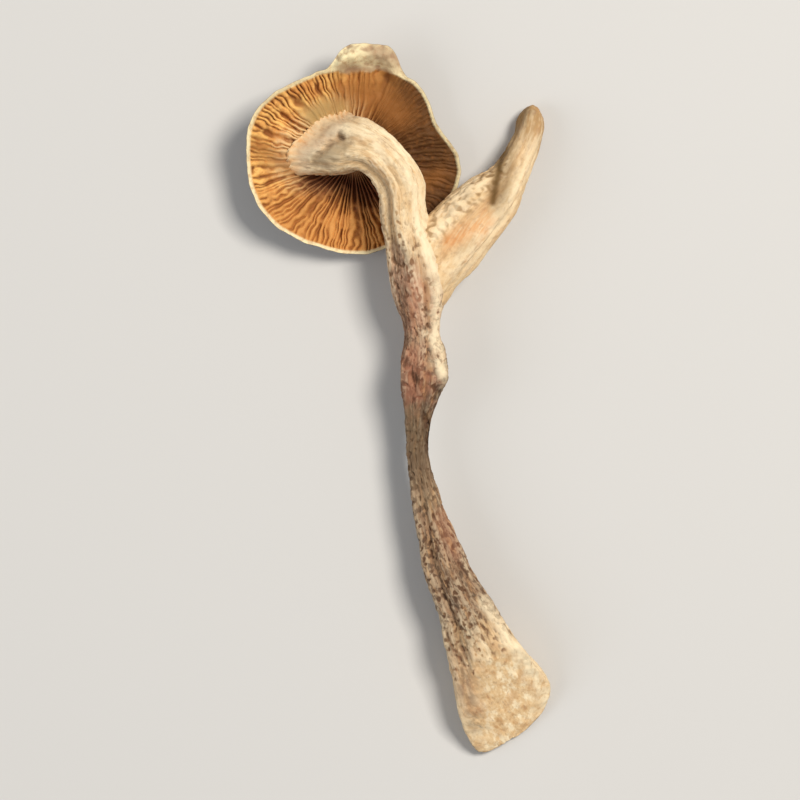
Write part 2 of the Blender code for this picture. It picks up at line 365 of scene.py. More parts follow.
# %% The stem's stations
STEM_STATIONS = (
    Station(9.2, -28.3, 0.9, 2.8, 0.7, 0.9, 28),
    Station(9.3, -27.4, 1.2, 3.6, 1.1, 1.3, 28),
    Station(9.1, -25.5, 1.9, 4.1, 1.9, 2.1, 17),
    Station(8.3, -23.1, 2.4, 3.9, 2.5, 2.6, 8),
    Station(6.3, -18.9, 2.7, 2.9, 2.5, 2.5, 9),
    Station(3.6, -12.8, 2.9, 1.9, 1.8, 1.8, 12),
    Station(1.8, -5.6, 3.2, 1.1, 1.1, 1.1, 4),
    Station(1.7, -2.0, 3.4, 1.2, 1.2, 1.2, 0),
    Station(2.0, 1.8, 3.8, 2.0, 1.8, 1.6, 0),
    Station(2.0, 5.3, 4.1, 1.6, 1.5, 1.5, 0),
    Station(1.5, 9.3, 4.5, 2.1, 1.8, 1.7, 0),
    Station(0.5, 14.6, 5.0, 1.8, 1.8, 1.7, 2),
    Station(0.1, 17.7, 5.4, 1.9, 1.7, 1.8, 10),
    Station(-1.6, 20.0, 5.6, 2.0, 1.7, 2.3, 32),
    Station(-3.9, 20.8, 5.0, 2.6, 1.8, 2.9, 52),
    Station(-6.1, 21.3, 3.4, 3.0, 1.2, 2.0, 42),
    Station(-6.6, 21.8, 2.4, 2.8, 0.8, 1.1, 40),
)
print("the stem has", len(STEM_STATIONS), "stations")

# %% [markdown]
# While the stem dried, its skin shrank onto the fibres inside and fell into long folds, which wander
# and fade. The solid has the largest one. Here come the others, as sharp valleys that follow an angle
# round the stem.

# %% The stem's long folds
# A fold's place round the stem, how far it wanders and its width, in degrees. Its depth is a share of the
# stem's size, and its start and end are shares of the stem's length.
Fold = namedtuple("Fold", "angle wander width depth start end")
STEM_FOLDS = (
    Fold(62, 18, 9, 0.15, 0.42, 0.84),
    Fold(128, 14, 8, 0.14, 0.12, 0.62),
    Fold(84, 22, 7, 0.12, 0.16, 0.46),
    Fold(25, 12, 9, 0.14, 0.30, 0.90),
    Fold(152, 12, 9, 0.14, 0.55, 0.88),
    Fold(205, 20, 10, 0.16, 0.10, 0.80),
    Fold(262, 24, 11, 0.18, 0.25, 0.98),
    Fold(318, 18, 10, 0.16, 0.08, 0.70),
)


def folded(skin, folds, seed):
    """How deep the long folds are, as a share of the stem's size."""
    total = 0.0
    for n, fold in enumerate(folds):
        drift = fold.wander * hills(5 * skin.share, 0.5 + n, 0.5, seed)
        away = np.sqrt(skin.from_angle(fold.angle + drift) ** 2 + 2.0)
        here = ease(fold.start, fold.start + 0.1, skin.share) * ease(fold.end, fold.end - 0.1, skin.share)
        total = total + fold.depth * here * np.exp(-away / fold.width)
    return total


def stem_size(skin):
    """The solid's own ridges and lumps, its long fold made finer, and the folds beside it."""
    share, angle = skin.share, skin.angle
    wind = 1.6 * np.sin(3.1 * share + 0.4)
    ridges = 0.07 * np.cos(6 * angle + 2.5 * wind) + 0.05 * np.cos(4 * angle - 3 * wind + 1.0)
    lumps = 0.05 * np.sin(19 * share + 2 * np.cos(angle)) * np.sin(41 * share + 1.3)
    deep_fold = hump(1.9 + 0.5 * np.sin(9 * share), 0.3, angle)
    shallow_ends = ease(0.0, 0.15, share) * ease(1.0, 0.85, share)
    return 1 + ridges + lumps - 0.13 * deep_fold * shallow_ends - folded(skin, STEM_FOLDS, 11)


print("the stem has", len(STEM_FOLDS), "long folds beside its deepest one")

# %% [markdown]
# Fine relief comes on top: lengthwise wrinkles between the folds, hair-fine fibres, cross wrinkles
# where the stem bends or thickens, and small pits on the lower half. Strokes add the marks that sit at
# one place: the pit and the crease beside the mouth on the gills, the pits of the knuckle, and the dark
# seams of the neck.

# %% The stem's fine relief
STEM_RINGS = 640
SKIN_SIDES = 132
# Where the knuckle and the bend are, as shares of the way along the stem
KNUCKLE = 0.555
BEND = 0.88
PIT_DEPTH = 0.13
WRINKLE_SHARPNESS = 3.0
stem_skin = Skin(STEM_STATIONS, STEM_RINGS, SKIN_SIDES)


def stem_pits(skin):
    """Pits, 0 to 1: a few on the cream parts, and many from the foot to the fork."""
    pitted = ease(0.06, 0.17, skin.share) * ease(0.84, 0.72, skin.share)
    small = ease(0.15, 0.75, skin.across(3.0, 2.0, layered, 25, 2))
    large = ease(0.30, 0.90, skin.across(1.6, 1.0, layered, 28, 2))
    return (0.2 + 0.8 * pitted) * np.maximum(small, large * pitted)


def stem_relief(skin):
    """How far the skin stands in or out from the smooth form, in millimetres."""
    share = skin.share
    lumps = 0.12 * skin.across(0.6, 0.35, hills, 26) + 0.045 * skin.across(2.6, 1.6, layered, 27, 3)
    wrinkles = 0.13 * skin.across(1.3, 0.22, creases, 21, WRINKLE_SHARPNESS)
    wrinkles = wrinkles + 0.05 * skin.across(2.8, 0.45, creases, 22, WRINKLE_SHARPNESS)
    wrinkles = wrinkles * (1 - 0.35 * ease(0.62, 0.80, share))
    fibres = 0.025 * skin.across(7.0, 0.6, hills, 23)
    at_knuckle = hump(KNUCKLE, 0.035, share)
    in_bend = hump(BEND, 0.07, share) * ease(0.2, -0.6, np.cos(skin.angle))
    cross_wrinkles = (0.04 * at_knuckle + 0.10 * in_bend) * skin.across(0.9, 1.6, creases, 24, 2.5)
    return lumps + fibres - wrinkles - cross_wrinkles - PIT_DEPTH * stem_pits(skin)


STEM_PRESSED = (
    Stroke(0.20, 0.60, ((-4.75, 21.62), (-4.6, 21.55))),
    Stroke(0.26, 0.40, ((-4.7, 21.5), (-5.6, 20.95), (-6.3, 20.3), (-7.0, 19.8))),
    Stroke(0.30, 0.22, ((-8.2, 20.0), (-6.8, 19.4), (-5.6, 18.9))),
    Stroke(0.30, 0.35, ((1.2, 2.0), (1.35, 1.6))),
    Stroke(0.26, 0.30, ((1.9, 1.3), (1.95, 0.9))),
    Stroke(0.26, 0.28, ((0.6, 3.2), (0.7, 2.7))),
    Stroke(0.25, 0.30, ((2.3, -1.4), (2.6, -2.8), (2.7, -4.0))),
)
STEM_RAISED = (
    Stroke(0.95, 0.48, ((3.3, 3.9), (3.9, 2.6), (3.8, 1.9))),
    Stroke(0.45, 0.18, ((-5.2, 22.0), (-6.4, 21.3), (-7.6, 20.5))),
)
print("the stem is", round(stem_skin.length, 1), "mm long along its middle")

# %% [markdown]
# The knife cut is made again across the foot. What lies above the cut is moved onto it, straight
# towards the lower core of the foot, so the skin never doubles over itself. The face shows the fibres
# end on, so it gets furrows down its slope and a shallow dish, and the far edge, which was torn rather
# than cut, is ragged.

# %% The knife cut across the foot
# One point on the cut, how much the cut falls per millimetre, and which way it falls
CUT_X = 8.2
CUT_Y = -20.5
CUT_Z = 4.9
CUT_FALL = 0.6
CUT_FALL_X = 0.555
CUT_FALL_Y = -0.832
CUT_SOFTNESS = 0.22
TORN_TOWARDS = np.array((0.53, -0.85, 0.0))


def down_the_cut(x, y):
    """How far down the slope of the cut a place is, and how far across it."""
    down = (x - CUT_X) * CUT_FALL_X + (y - CUT_Y) * CUT_FALL_Y
    across = (x - CUT_X) * CUT_FALL_Y - (y - CUT_Y) * CUT_FALL_X
    return down, across


def cut_foot(points, skin):
    """Takes the foot's upper side off along the cut, and says how far each place lies on the cut face."""
    core = skin.middle.copy()
    fall = CUT_FALL * down_the_cut(core[..., 0], core[..., 1])[0]
    core[..., 2] = np.minimum(core[..., 2], CUT_Z - fall) / 2
    below = core[..., 2] - CUT_Z + fall
    down, across = down_the_cut(points[..., 0], points[..., 1])
    above = points[..., 2] - CUT_Z + CUT_FALL * down + 0.18 * layered(0.8 * down, 0.8 * across, 0.5, 35, 3)
    soft = np.clip(above, -CUT_SOFTNESS, CUT_SOFTNESS)
    wanted = np.where(above < -CUT_SOFTNESS, above, -((CUT_SOFTNESS - soft) ** 2) / (4 * CUT_SOFTNESS))
    pull = np.where(above > -CUT_SOFTNESS, (wanted - below) / (above - below), 1.0)
    points = core + (points - core) * pull[..., None]
    on_cut = ease(-CUT_SOFTNESS, CUT_SOFTNESS, above)
    down, across = down_the_cut(points[..., 0], points[..., 1])
    furrows = 0.05 * creases(1.1 * across, 0.4 * down, 0.5, 31)
    furrows = furrows + 0.05 * layered(2 * across, 1.2 * down, 0.5, 32, 4)
    dish = 0.22 * hump(4.0, 2.5, down) * hump(0.3, 2.4, across)
    points[..., 2] -= (furrows + dish) * on_cut
    return points, on_cut


def tear_foot(points, skin):
    """Makes the end of the foot ragged."""
    x, y = np.cos(skin.angle), np.sin(skin.angle)
    ragged = 0.45 * layered(2.2 * x, 2.2 * y, 0.5, 33, 4)
    return points + TORN_TOWARDS * (ragged * ease(0.06, 0.0, skin.share))[..., None]


def rest_on_floor(points):
    """Flattens what would reach below the surface that the mushroom lies on."""
    points[..., 2] = np.maximum(points[..., 2], 0.0)
    return points


cut_slope = math.degrees(math.atan(CUT_FALL * math.hypot(CUT_FALL_X, CUT_FALL_Y)))
print("the cut slopes by", round(cut_slope), "degrees")

# %% [markdown]
# Now the steps come together: the smooth form, its wrinkles, the pressed and the swollen places, and
# last the torn end and the knife cut, because a cut face stays flat. How far each place stands in or
# out is kept, since the finish darkens what lies deep.

# %% The stem's skin
stem_growth = stem_size(stem_skin)
stem_fine = stem_relief(stem_skin)
stem_points = stem_skin.points(stem_growth, stem_fine)
stem_pressed = brushed(stem_points, STEM_PRESSED, wobble=0.25, seed=61)
stem_raised = brushed(stem_points, STEM_RAISED, wobble=0.15, seed=62)
stem_points = swell(sink(stem_points, stem_pressed), stem_raised)
stem_points, on_cut = cut_foot(tear_foot(stem_points, stem_skin), stem_skin)
stem_swelling = (stem_growth - 1) * stem_skin.girth + stem_fine - stem_pressed + stem_raised
print("stem relief from", round(float(stem_fine.min()), 2), "to", round(float(stem_fine.max()), 2), "mm")

# %% [markdown]
# The side branch grew out of the stem at the fork. Its root starts inside the stem, so the two skins
# meet with no gap to be seen. One groove runs between a pitted left face and a smooth right one, and
# the tip is blunt.

# %% The side branch's stations and strokes
BRANCH_RINGS = 300
BRANCH_STATIONS = (
    Station(1.9, 8.2, 4.1, 1.2, 0.9, 0.9, -31),
    Station(2.6, 10.0, 4.2, 2.1, 1.4, 1.4, -31),
    Station(3.9, 12.1, 4.2, 2.7, 1.6, 1.6, -31),
    Station(5.6, 14.5, 4.0, 2.9, 1.6, 1.6, -31),
    Station(7.9, 17.0, 3.4, 2.4, 1.5, 1.5, -31),
    Station(9.4, 18.8, 2.9, 1.6, 1.4, 1.4, -28),
    Station(10.7, 21.5, 2.0, 1.3, 1.3, 1.3, -22),
    Station(11.1, 23.1, 1.3, 1.2, 1.2, 1.5, -18),
    Station(11.3, 24.1, 0.9, 0.7, 0.7, 0.8, -18),
)
BRANCH_FOLDS = (
    Fold(64, 12, 9, 0.08, 0.30, 0.80),
    Fold(30, 10, 9, 0.10, 0.15, 0.95),
    Fold(200, 18, 10, 0.14, 0.10, 0.90),
    Fold(255, 20, 10, 0.16, 0.15, 0.95),
    Fold(310, 16, 10, 0.14, 0.10, 0.85),
)
BRANCH_PRESSED = (
    Stroke(0.45, 0.50, ((8.25, 18.9), (8.0, 17.6), (7.85, 16.5))),
    Stroke(0.45, 0.18, ((7.7, 16.4), (6.6, 13.8), (5.4, 12.2))),
    Stroke(0.30, 0.18, ((4.0, 15.2), (4.6, 15.9))),
)
BRANCH_RAISED = (
    Stroke(0.50, 0.16, ((9.4, 20.4), (9.0, 19.0), (8.8, 17.6), (8.6, 16.4))),
    Stroke(0.45, 0.14, ((11.0, 22.4), (10.6, 20.2), (9.6, 17.2), (8.2, 14.8))),
)
branch_skin = Skin(BRANCH_STATIONS, BRANCH_RINGS, SKIN_SIDES)
print("branch is", round(branch_skin.length, 1), "mm long from its root inside the stem")

# %% [markdown]
# The branch's left face is full of pits, and its right face is smooth. So the pits are laid by their
# angle round the branch, while the wrinkles and fibres run over both faces. The strokes of the groove
# and of the ridge beside it are smoothed together before they move the skin, so that it doesn't
# crumple.

# %% The side branch's skin
GROOVE_ROUNDS = 10
PITTED_FACE = 135


def branch_size(skin):
    """The solid's ridges and its groove, and the long folds beside it."""
    ridges = 0.05 * np.cos(5 * skin.angle + 2 * skin.share + 0.6)
    groove = hump(1.75 - 0.5 * skin.share, 0.35, skin.angle)
    along = ease(0.1, 0.4, skin.share) * ease(0.95, 0.75, skin.share)
    return 1 + ridges - 0.25 * groove * along - folded(skin, BRANCH_FOLDS, 41)


def branch_pits(skin):
    """Pits, 0 to 1, close together on the left face."""
    left_face = hump(0.0, 36.0, skin.from_angle(PITTED_FACE)) * ease(0.80, 0.62, skin.share)
    return (0.15 + 0.85 * left_face) * ease(-0.25, 0.65, skin.across(2.6, 2.2, hills, 45))


def branch_relief(skin):
    """Lumps, wrinkles, fibres and pits."""
    lumps = 0.09 * skin.across(0.6, 0.4, hills, 46) + 0.03 * skin.across(3.0, 1.8, layered, 47, 3)
    wrinkles = 0.10 * skin.across(1.2, 0.20, creases, 42, WRINKLE_SHARPNESS)
    wrinkles = wrinkles + 0.04 * skin.across(2.8, 0.4, creases, 43, WRINKLE_SHARPNESS)
    fibres = 0.022 * skin.across(7.0, 0.7, hills, 44)
    return lumps + fibres - wrinkles - PIT_DEPTH * branch_pits(skin)


branch_growth = branch_size(branch_skin)
branch_fine = branch_relief(branch_skin)
branch_points = branch_skin.points(branch_growth, branch_fine)
branch_pressed = brushed(branch_points, BRANCH_PRESSED, wobble=0.15, seed=63)
branch_raised = brushed(branch_points, BRANCH_RAISED, wobble=0.15, seed=67)
branch_sunk = smoothed(branch_pressed - branch_raised, GROOVE_ROUNDS)
branch_points = sink(branch_points, branch_sunk)
branch_swelling = (branch_growth - 1) * branch_skin.girth + branch_fine - branch_sunk
print("the branch's skin stands in by up to", round(-float(branch_fine.min()), 2), "mm")

# %% [markdown]
# Where two limbs grow out of one another there is no sharp seam: flesh fills the corner. Two skins that
# cross can be given such a filled corner without joining them. Each is lifted near the other, most at
# the line where they cross and less with distance, so that the line ends up as a soft hollow.

# %% The filled corner of the fork
WEB_REACH = 1.9
WEB_ROUNDS = 4


def closeness(points, other, reach):
    """1 where the points touch another skin, falling to 0 at this reach from it."""
    quads = ring_faces(*other.shape[:2])[2]
    tree = BVHTree.FromPolygons(other.reshape(-1, 3).tolist(), quads.tolist())
    low = other.reshape(-1, 3).min(axis=0) - reach
    high = other.reshape(-1, 3).max(axis=0) + reach
    near = np.all((points > low) & (points < high), axis=2)
    share = np.zeros(points.shape[:2])
    for ring, side in zip(*np.nonzero(near)):
        away = tree.find_nearest(Vector(points[ring, side]), reach)[3]
        if away is not None:
            share[ring, side] = 1 - away / reach
    return share


def web_towards(points, other, reach):
    """How far to lift these points near another skin, to fill the corner between the two."""
    return smoothed(reach / 4 * closeness(points, other, reach) ** 2, WEB_ROUNDS)


# Every third point of the other skin is enough to measure how near it is
stem_web = web_towards(stem_points, branch_points[::3, ::3], WEB_REACH) * ease(0.62, 0.66, stem_skin.share)
branch_web = web_towards(branch_points, stem_points[::3, ::3], WEB_REACH)
stem_points = swell(stem_points, stem_web)
branch_points = swell(branch_points, branch_web)
print("the fork's corner is filled by up to", round(float(branch_web.max()), 2), "mm")

# %% [markdown]
# The cap lies gills up. A gill is a thin upright sheet that runs from the stem to the margin, and
# between two full gills there is often a short one that starts halfway. They dried wavy and ragged. One
# skin is drawn out over the gills to the rim and back underneath, dense enough for the gills to be real
# relief, since the gaps between them are what makes a cap look like a cap.

# %% The cap's form
HUB_X = -3.7
HUB_Y = 20.0
HUB_HEIGHT = 1.6
CAP_RADIUS = 8.4
CAP_STRETCH = 0.7
# Flatter stretches of the rim: direction and reach in degrees, and depth in millimetres
FLAT_SIDES = ((19, 20, 1.5), (131, 18, 0.75))
RIM_HEIGHT = 3.1
RIM_TILT = 1.9
RIM_HIGH_SIDE = math.radians(140)
BOWL_POWER = 1.7
FLESH_AT_HUB = 1.6
FLESH_AT_RIM = 0.5
# The rolled margin: its direction, where it ends and where it is full in degrees, its width and its height
ROLL_SIDE = 82
ROLL_HALF_SPAN = 27
ROLL_FULL_SPAN = 8
ROLL_WIDTH = 1.9
ROLL_HEIGHT = 0.8
GILLS = 60
SAMPLES_PER_GILL = 14

turn = np.linspace(0, 2 * math.pi, GILLS * SAMPLES_PER_GILL, endpoint=False)[None, :]


def degrees_from(side):
    """How far round the cap a place is from this direction, in degrees."""
    return np.abs((np.degrees(turn) - side + 180) % 360 - 180)


rolled = ease(ROLL_HALF_SPAN, ROLL_FULL_SPAN, degrees_from(ROLL_SIDE))
rim_waves = 0.22 * np.sin(3 * turn + 0.7) + 0.16 * np.sin(5 * turn + 2.1)
flats = sum(depth * hump(0.0, reach, degrees_from(side)) for side, reach, depth in FLAT_SIDES)
rim_radius = CAP_RADIUS + CAP_STRETCH * np.cos(2 * turn) + rim_waves + ROLL_WIDTH * rolled - flats
rim_height = RIM_HEIGHT + RIM_TILT * np.cos(turn - RIM_HIGH_SIDE)
rim_height = rim_height + 0.2 * np.sin(5 * turn + 1.0) + 0.12 * np.sin(9 * turn)


def gill_face(share):
    """The height of the gills' edges, at a share of the way from hub to rim."""
    bowl = HUB_HEIGHT + (rim_height - HUB_HEIGHT) * share**BOWL_POWER
    return bowl + ROLL_HEIGHT * rolled * hump(0.93, 0.07, share)


def flesh_thickness(share):
    """From the gills' edges down to the skin."""
    return FLESH_AT_RIM + (FLESH_AT_HUB - FLESH_AT_RIM) * np.sqrt(np.maximum(1 - share**2, 0.0))


print("the rim is up to", round(float(rim_radius.max()), 1), "mm from the hub")

# %% [markdown]
# On the real cap the gills are not alike. Beside the mouth of the stem they are crusted over and
# smooth, towards the rolled margin they are fine and low, and on the left they stand up ragged. The
# left gets painted highlights, and under the bend and on the right side they get painted shade. These
# zones are strokes too, and they steer both the depth of the gills and their colour.

# %% Zones of the gills
CAP_OLIVE = (Stroke(1.05, 1.0, ((-7.0, 23.5), (-5.9, 24.1), (-4.8, 24.3))),)
# The gills' own flat brown zones, whose colour is painted darker as shade
CAP_BROWN = (
    Stroke(1.60, 1.0, ((-3.6, 25.6), (-1.6, 25.0), (0.0, 23.6))),
    Stroke(0.90, 0.7, ((2.0, 18.0), (3.4, 18.6))),
    Stroke(0.70, 0.8, ((-11.6, 21.0), (-9.8, 19.6), (-8.6, 19.0))),
)
# Painted shade under the bend of the stem, over the gills' red-brown
CAP_RED_SHADE = (Stroke(1.70, 1.0, ((-7.0, 18.4), (-4.6, 18.3), (-2.4, 17.2))),)
# Grey on the right end of the roll, and painted shade along the roll's inner edge
CAP_GREY_AND_SHADE = (
    Stroke(0.90, 1.0, ((-1.8, 28.7), (0.8, 27.8))),
    Stroke(0.40, 0.9, ((-4.7, 27.4), (-3.0, 27.3), (-1.0, 27.2))),
)

# The rings of the gill side stand closer together towards the rim
GILL_SIDE_RINGS = 72
CENTRE_SHARE = 0.04
RIM_CROWDING = 1.25
near_rim = 1 - (1 - np.linspace(0, 1, GILL_SIDE_RINGS)) ** RIM_CROWDING
out = (CENTRE_SHARE + (1 - CENTRE_SHARE) * near_rim)[:, None]
x_out = out * rim_radius * np.cos(turn)
y_out = out * rim_radius * np.sin(turn)
gill_side_places = np.stack((HUB_X + x_out, HUB_Y + y_out), axis=-1)
ZONE_WOBBLE = 0.35
# Directions of the side whose gill edges get a painted highlight and of the side that gets painted shade
LIT_DIRECTION = 150
SHADED_DIRECTION = 5


def zone(strokes, seed):
    """A zone of the gill side, 0 to 1, with uneven edges."""
    uneven = 1 + ZONE_WOBBLE * layered(1.1 * x_out, 1.1 * y_out, 0.5, seed, 3)
    return laid(gill_side_places, strokes, uneven)


olive_zone = zone(CAP_OLIVE, 81)
brown_zone = zone(CAP_BROWN, 82)
red_shade_zone = zone(CAP_RED_SHADE, 83)
grey_and_shade_zone = zone(CAP_GREY_AND_SHADE, 84)
# The lit side, where the gills also stand ragged, gets painted highlights; the shaded side gets painted
# shade
lit_gill_side = ease(75, 40, degrees_from(LIT_DIRECTION))
shaded_side = ease(80, 45, degrees_from(SHADED_DIRECTION))
print("the olive zone covers", round(100 * float(olive_zone.mean())), "% of the gill side")

# %% [markdown]
# Gills could be sixty separate sheets, but they grew out of the flesh, and thin loose sheets are hard
# to seat in it. So a wandering gill number is worked out for every place instead: at a whole number a
# full gill stands up, and halfway between two of them a short one does. The section of a sheet turns
# that number into a height.

# %% The gills
# Where the gills begin and are full, as shares of the radius
GILL_START = 0.10
GILL_FULL = 0.30
# Widths as shares of the distance between two gills
FULL_GILL_WIDTH = 0.25
SHORT_GILL_WIDTH = 0.13
# The depth of the gills, and how much less it is on the shaded side, in millimetres
GILL_DEPTH = 0.56
SHADED_SHALLOWER = 0.30
MARGIN_WIDTH = 0.22


def sheet_edge(away, width):
    """The section of a thin sheet: 1 on its edge and 0 beside it, with steep sides."""
    return 1 / (1 + (np.abs(away) / width) ** 4)


def gill_place(x, y):
    """Which gill a place lies on, counted round from the right. Gills wander, and crowd in clumps."""
    radius = np.hypot(x, y)
    round_hub = np.arctan2(y, x) % (2 * math.pi)
    clumps = 0.45 * hills(5 * np.cos(round_hub), 5 * np.sin(round_hub), 0.5, 66)
    bends = 0.40 * hills(0.5 * x, 0.5 * y, 0.5, 51) + 0.22 * hills(1.6 * x, 1.6 * y, 0.5, 65)
    return round_hub * GILLS / (2 * math.pi) + clumps + bends * ease(1.5, 5.0, radius)


place = gill_place(x_out, y_out)
gill_number = np.round(place)
full_gill = sheet_edge(place - gill_number, FULL_GILL_WIDTH)
half_number = np.floor(place)
short_start = 0.62 + 0.22 * np.sin(half_number * 2.39)
short_height = 0.8 * ease(short_start, short_start + 0.1, out)
short_gill = short_height * sheet_edge(place - half_number - 0.5, SHORT_GILL_WIDTH)
way_out = out * CAP_RADIUS
ragged = hills(gill_number * 3.7, 1.6 * way_out, 0.5, 52)
ragged = ragged + 0.6 * hills(gill_number * 5.3, 4 * way_out, 0.5, 68)
unequal = 0.16 * hills(gill_number * 1.3, 0.5 * way_out, 0.5, 64)
full_height = 0.84 + (0.08 + 0.20 * lit_gill_side) * ragged + unequal
gill_height = np.maximum(full_gill * full_height, short_gill)
crusted = ease(-0.1, 0.7, layered(1.1 * x_out, 1.1 * y_out, 0.5, 69, 3))
flat_zone = np.maximum(np.maximum(olive_zone, 0.8 * brown_zone), 0.65 * crusted)
gill_depth = (GILL_DEPTH - SHADED_SHALLOWER * shaded_side) * (1 - 0.85 * flat_zone)
margin = (MARGIN_WIDTH + ROLL_WIDTH * rolled) / rim_radius
margin = margin * (1 + rolled * 0.22 * hills(gill_number * 0.8, 0.0, 0.5, 70))
gilled = ease(GILL_START, GILL_FULL, out) * ease(1 - margin, 0.98 - margin, out)
gill_gap = 2 * math.pi * CAP_RADIUS / GILLS
print(GILLS, "full gills, about", round(gill_gap, 2), "mm apart at the rim")

# %% [markdown]
# One skin runs from the hub over the gills to the rim and back underneath, ring by ring. The gill side
# carries the gills, the thin raised lip and the lumps of the rolled margin. The skin side shrank over
# the flesh, so it has radial folds and a net of wrinkles, which fade out at the rim.

# %% The cap's mesh
SKIN_SIDE_RINGS = 42
rim_notches = 0.10 * layered(6 * np.cos(turn), 6 * np.sin(turn), 0.5, 53, 2) * ease(0.9, 1.0, out)
rim_lip = 0.10 * hump(1.0, 0.03, out) * (1 - rolled)
roll_place = (0.75 * x_out, 0.75 * y_out, 0.5)
roll_bulge = 0.75 * ease(0.77, 0.87, out) * ease(1.0, 0.88, out)
roll_lumps = 0.42 * layered(*roll_place, 54, 3) - 0.20 * creases(*roll_place, 60, 5.0)
roll_lumps = rolled * (roll_bulge + roll_lumps * ease(0.76, 0.84, out))
face_lumps = 0.12 * layered(0.7 * x_out, 0.7 * y_out, 0.5, 55, 2) * ease(0.1, 0.4, out)
top_height = gill_face(out) - gill_depth * gilled * (1 - gill_height) + face_lumps + roll_lumps + rim_lip
back = np.linspace(1.0, CENTRE_SHARE, SKIN_SIDE_RINGS)[1:, None]
x_back = back * rim_radius * np.cos(turn)
y_back = back * rim_radius * np.sin(turn)
radial = 0.10 * creases(5 * np.cos(turn), 5 * np.sin(turn), 0.8 * back, 56) * ease(0.2, 0.7, back)
net = 0.14 * creases(0.75 * x_back, 0.75 * y_back, 0.5, 57)
net = net + 0.07 * creases(1.8 * x_back, 1.8 * y_back, 0.5, 58)
under_relief = 0.12 * layered(0.4 * x_back, 0.4 * y_back, 0.5, 59, 3) - radial - net
under_height = gill_face(back) - flesh_thickness(back) + under_relief * ease(1.0, 0.9, back)


def cap_points(share, height, push):
    """Points of the cap from their share of the radius and their height, pushed outwards by millimetres."""
    radius = share * rim_radius + push
    return np.stack((HUB_X + radius * np.cos(turn), HUB_Y + radius * np.sin(turn), height), axis=-1)


gill_side = cap_points(out, top_height, rim_notches)
skin_side = cap_points(back, under_height, 0.0)
cap_skin = np.concatenate((gill_side, skin_side))
print("the cap's skin has", cap_skin.shape[0], "rings of", cap_skin.shape[1], "points")

# %% [markdown]
# The stem ends in a flared mouth that lies on the gills like the bell of a trumpet, and the gills run
# on to it. The two skins are brought together in steps: the last rings of the stem sink until they
# nearly touch the gills, the corner between the two is filled from both sides, and soft ridges in line
# with the gills run up the mouth.

# %% The mouth of the stem on the gills
BELL_REACH = 2.7
BELL_RIDGE = 0.06
BELL_RIDGE_WIDTH = 0.27
# Where the mouth starts to sink, as a share of the stem, and how high its end stays above the gills
BELL_SINK_START = 0.955
BELL_END_HEIGHT = 0.15


def face_under(x, y):
    """The height of the gills' edges under a place."""
    round_hub = np.arctan2(y, x) % (2 * math.pi)
    rim = np.interp(round_hub, turn[0], rim_radius[0], period=2 * math.pi)
    high = np.interp(round_hub, turn[0], rim_height[0], period=2 * math.pi)
    return HUB_HEIGHT + (high - HUB_HEIGHT) * (np.hypot(x, y) / rim) ** BOWL_POWER


x_bell = stem_points[..., 0] - HUB_X
y_bell = stem_points[..., 1] - HUB_Y
bell_face = face_under(x_bell, y_bell) + BELL_END_HEIGHT
bell_sink = ease(BELL_SINK_START, 1.0, stem_skin.share) * (stem_points[..., 2] - bell_face)
stem_points = sink(stem_points, bell_sink)
in_bell = ease(0.90, 0.93, stem_skin.share)
# Every few points of the other skin are enough to measure how near it is
coarse_cap = cap_skin[::2, ::4]
cap_web = web_towards(cap_skin, stem_points[::2, ::2], BELL_REACH)
bell_web = web_towards(stem_points, coarse_cap, BELL_REACH) * in_bell
at_gills = closeness(stem_points, coarse_cap, BELL_REACH) * in_bell
bell_place = gill_place(x_bell, y_bell)
bell_ridges = sheet_edge(bell_place - np.round(bell_place), BELL_RIDGE_WIDTH) * ease(0.2, 0.8, at_gills)
stem_points = swell(stem_points, bell_web + BELL_RIDGE * bell_ridges)
cap_skin[:GILL_SIDE_RINGS, :, 2] += cap_web[:GILL_SIDE_RINGS]
cap_skin = rest_on_floor(cap_skin)
print("the mouth of the stem is drawn out by up to", round(float(bell_web.max()), 2), "mm")

# %% [markdown]
# The cap's finish changes from gill to gap, from the bright side to the shaded one, and from the gills
# to the margin and the skin. All of that is known here, so each is kept on the mesh as a number from 0
# to 1, and the creases in millimetres.

# %% The cap with its numbers
MOUTH_REACH = 2.6


def both_sides(top, under):
    """One field over the gill side and the skin side together."""
    over_gills = np.broadcast_to(top, gill_side.shape[:2])
    over_skin = np.broadcast_to(under, skin_side.shape[:2])
    return np.concatenate((over_gills, over_skin))


cap_marks = {
    "gill": both_sides(1 - gilled * (1 - gill_height) * (1 - 0.6 * flat_zone), 0.0),
    "gilled": both_sides(gilled, 0.0),
    "under": both_sides(ease(0.995, 1.0, out), 1.0),
    "out": both_sides(out, back),
    "crease": both_sides(sunk_in(roll_lumps), sunk_in(under_relief)),
    # The shaded and lit sides carry painted shade and painted highlights
    "shaded": both_sides(shaded_side, 0.0),
    "bright": both_sides(lit_gill_side, 0.0),
    "olive": both_sides(olive_zone, 0.0),
    "brown": both_sides(brown_zone, 0.0),
    "red": both_sides(red_shade_zone, 0.0),
    "grey": both_sides(grey_and_shade_zone, 0.0),
    "mouth": closeness(cap_skin, stem_points[::2, ::2], MOUTH_REACH),
}
cap_grain = cap_skin - np.array((HUB_X, HUB_Y, 0.0))
cap_piece = make_piece("cap", cap_skin, cap_marks, {"skin_grain": cap_grain})
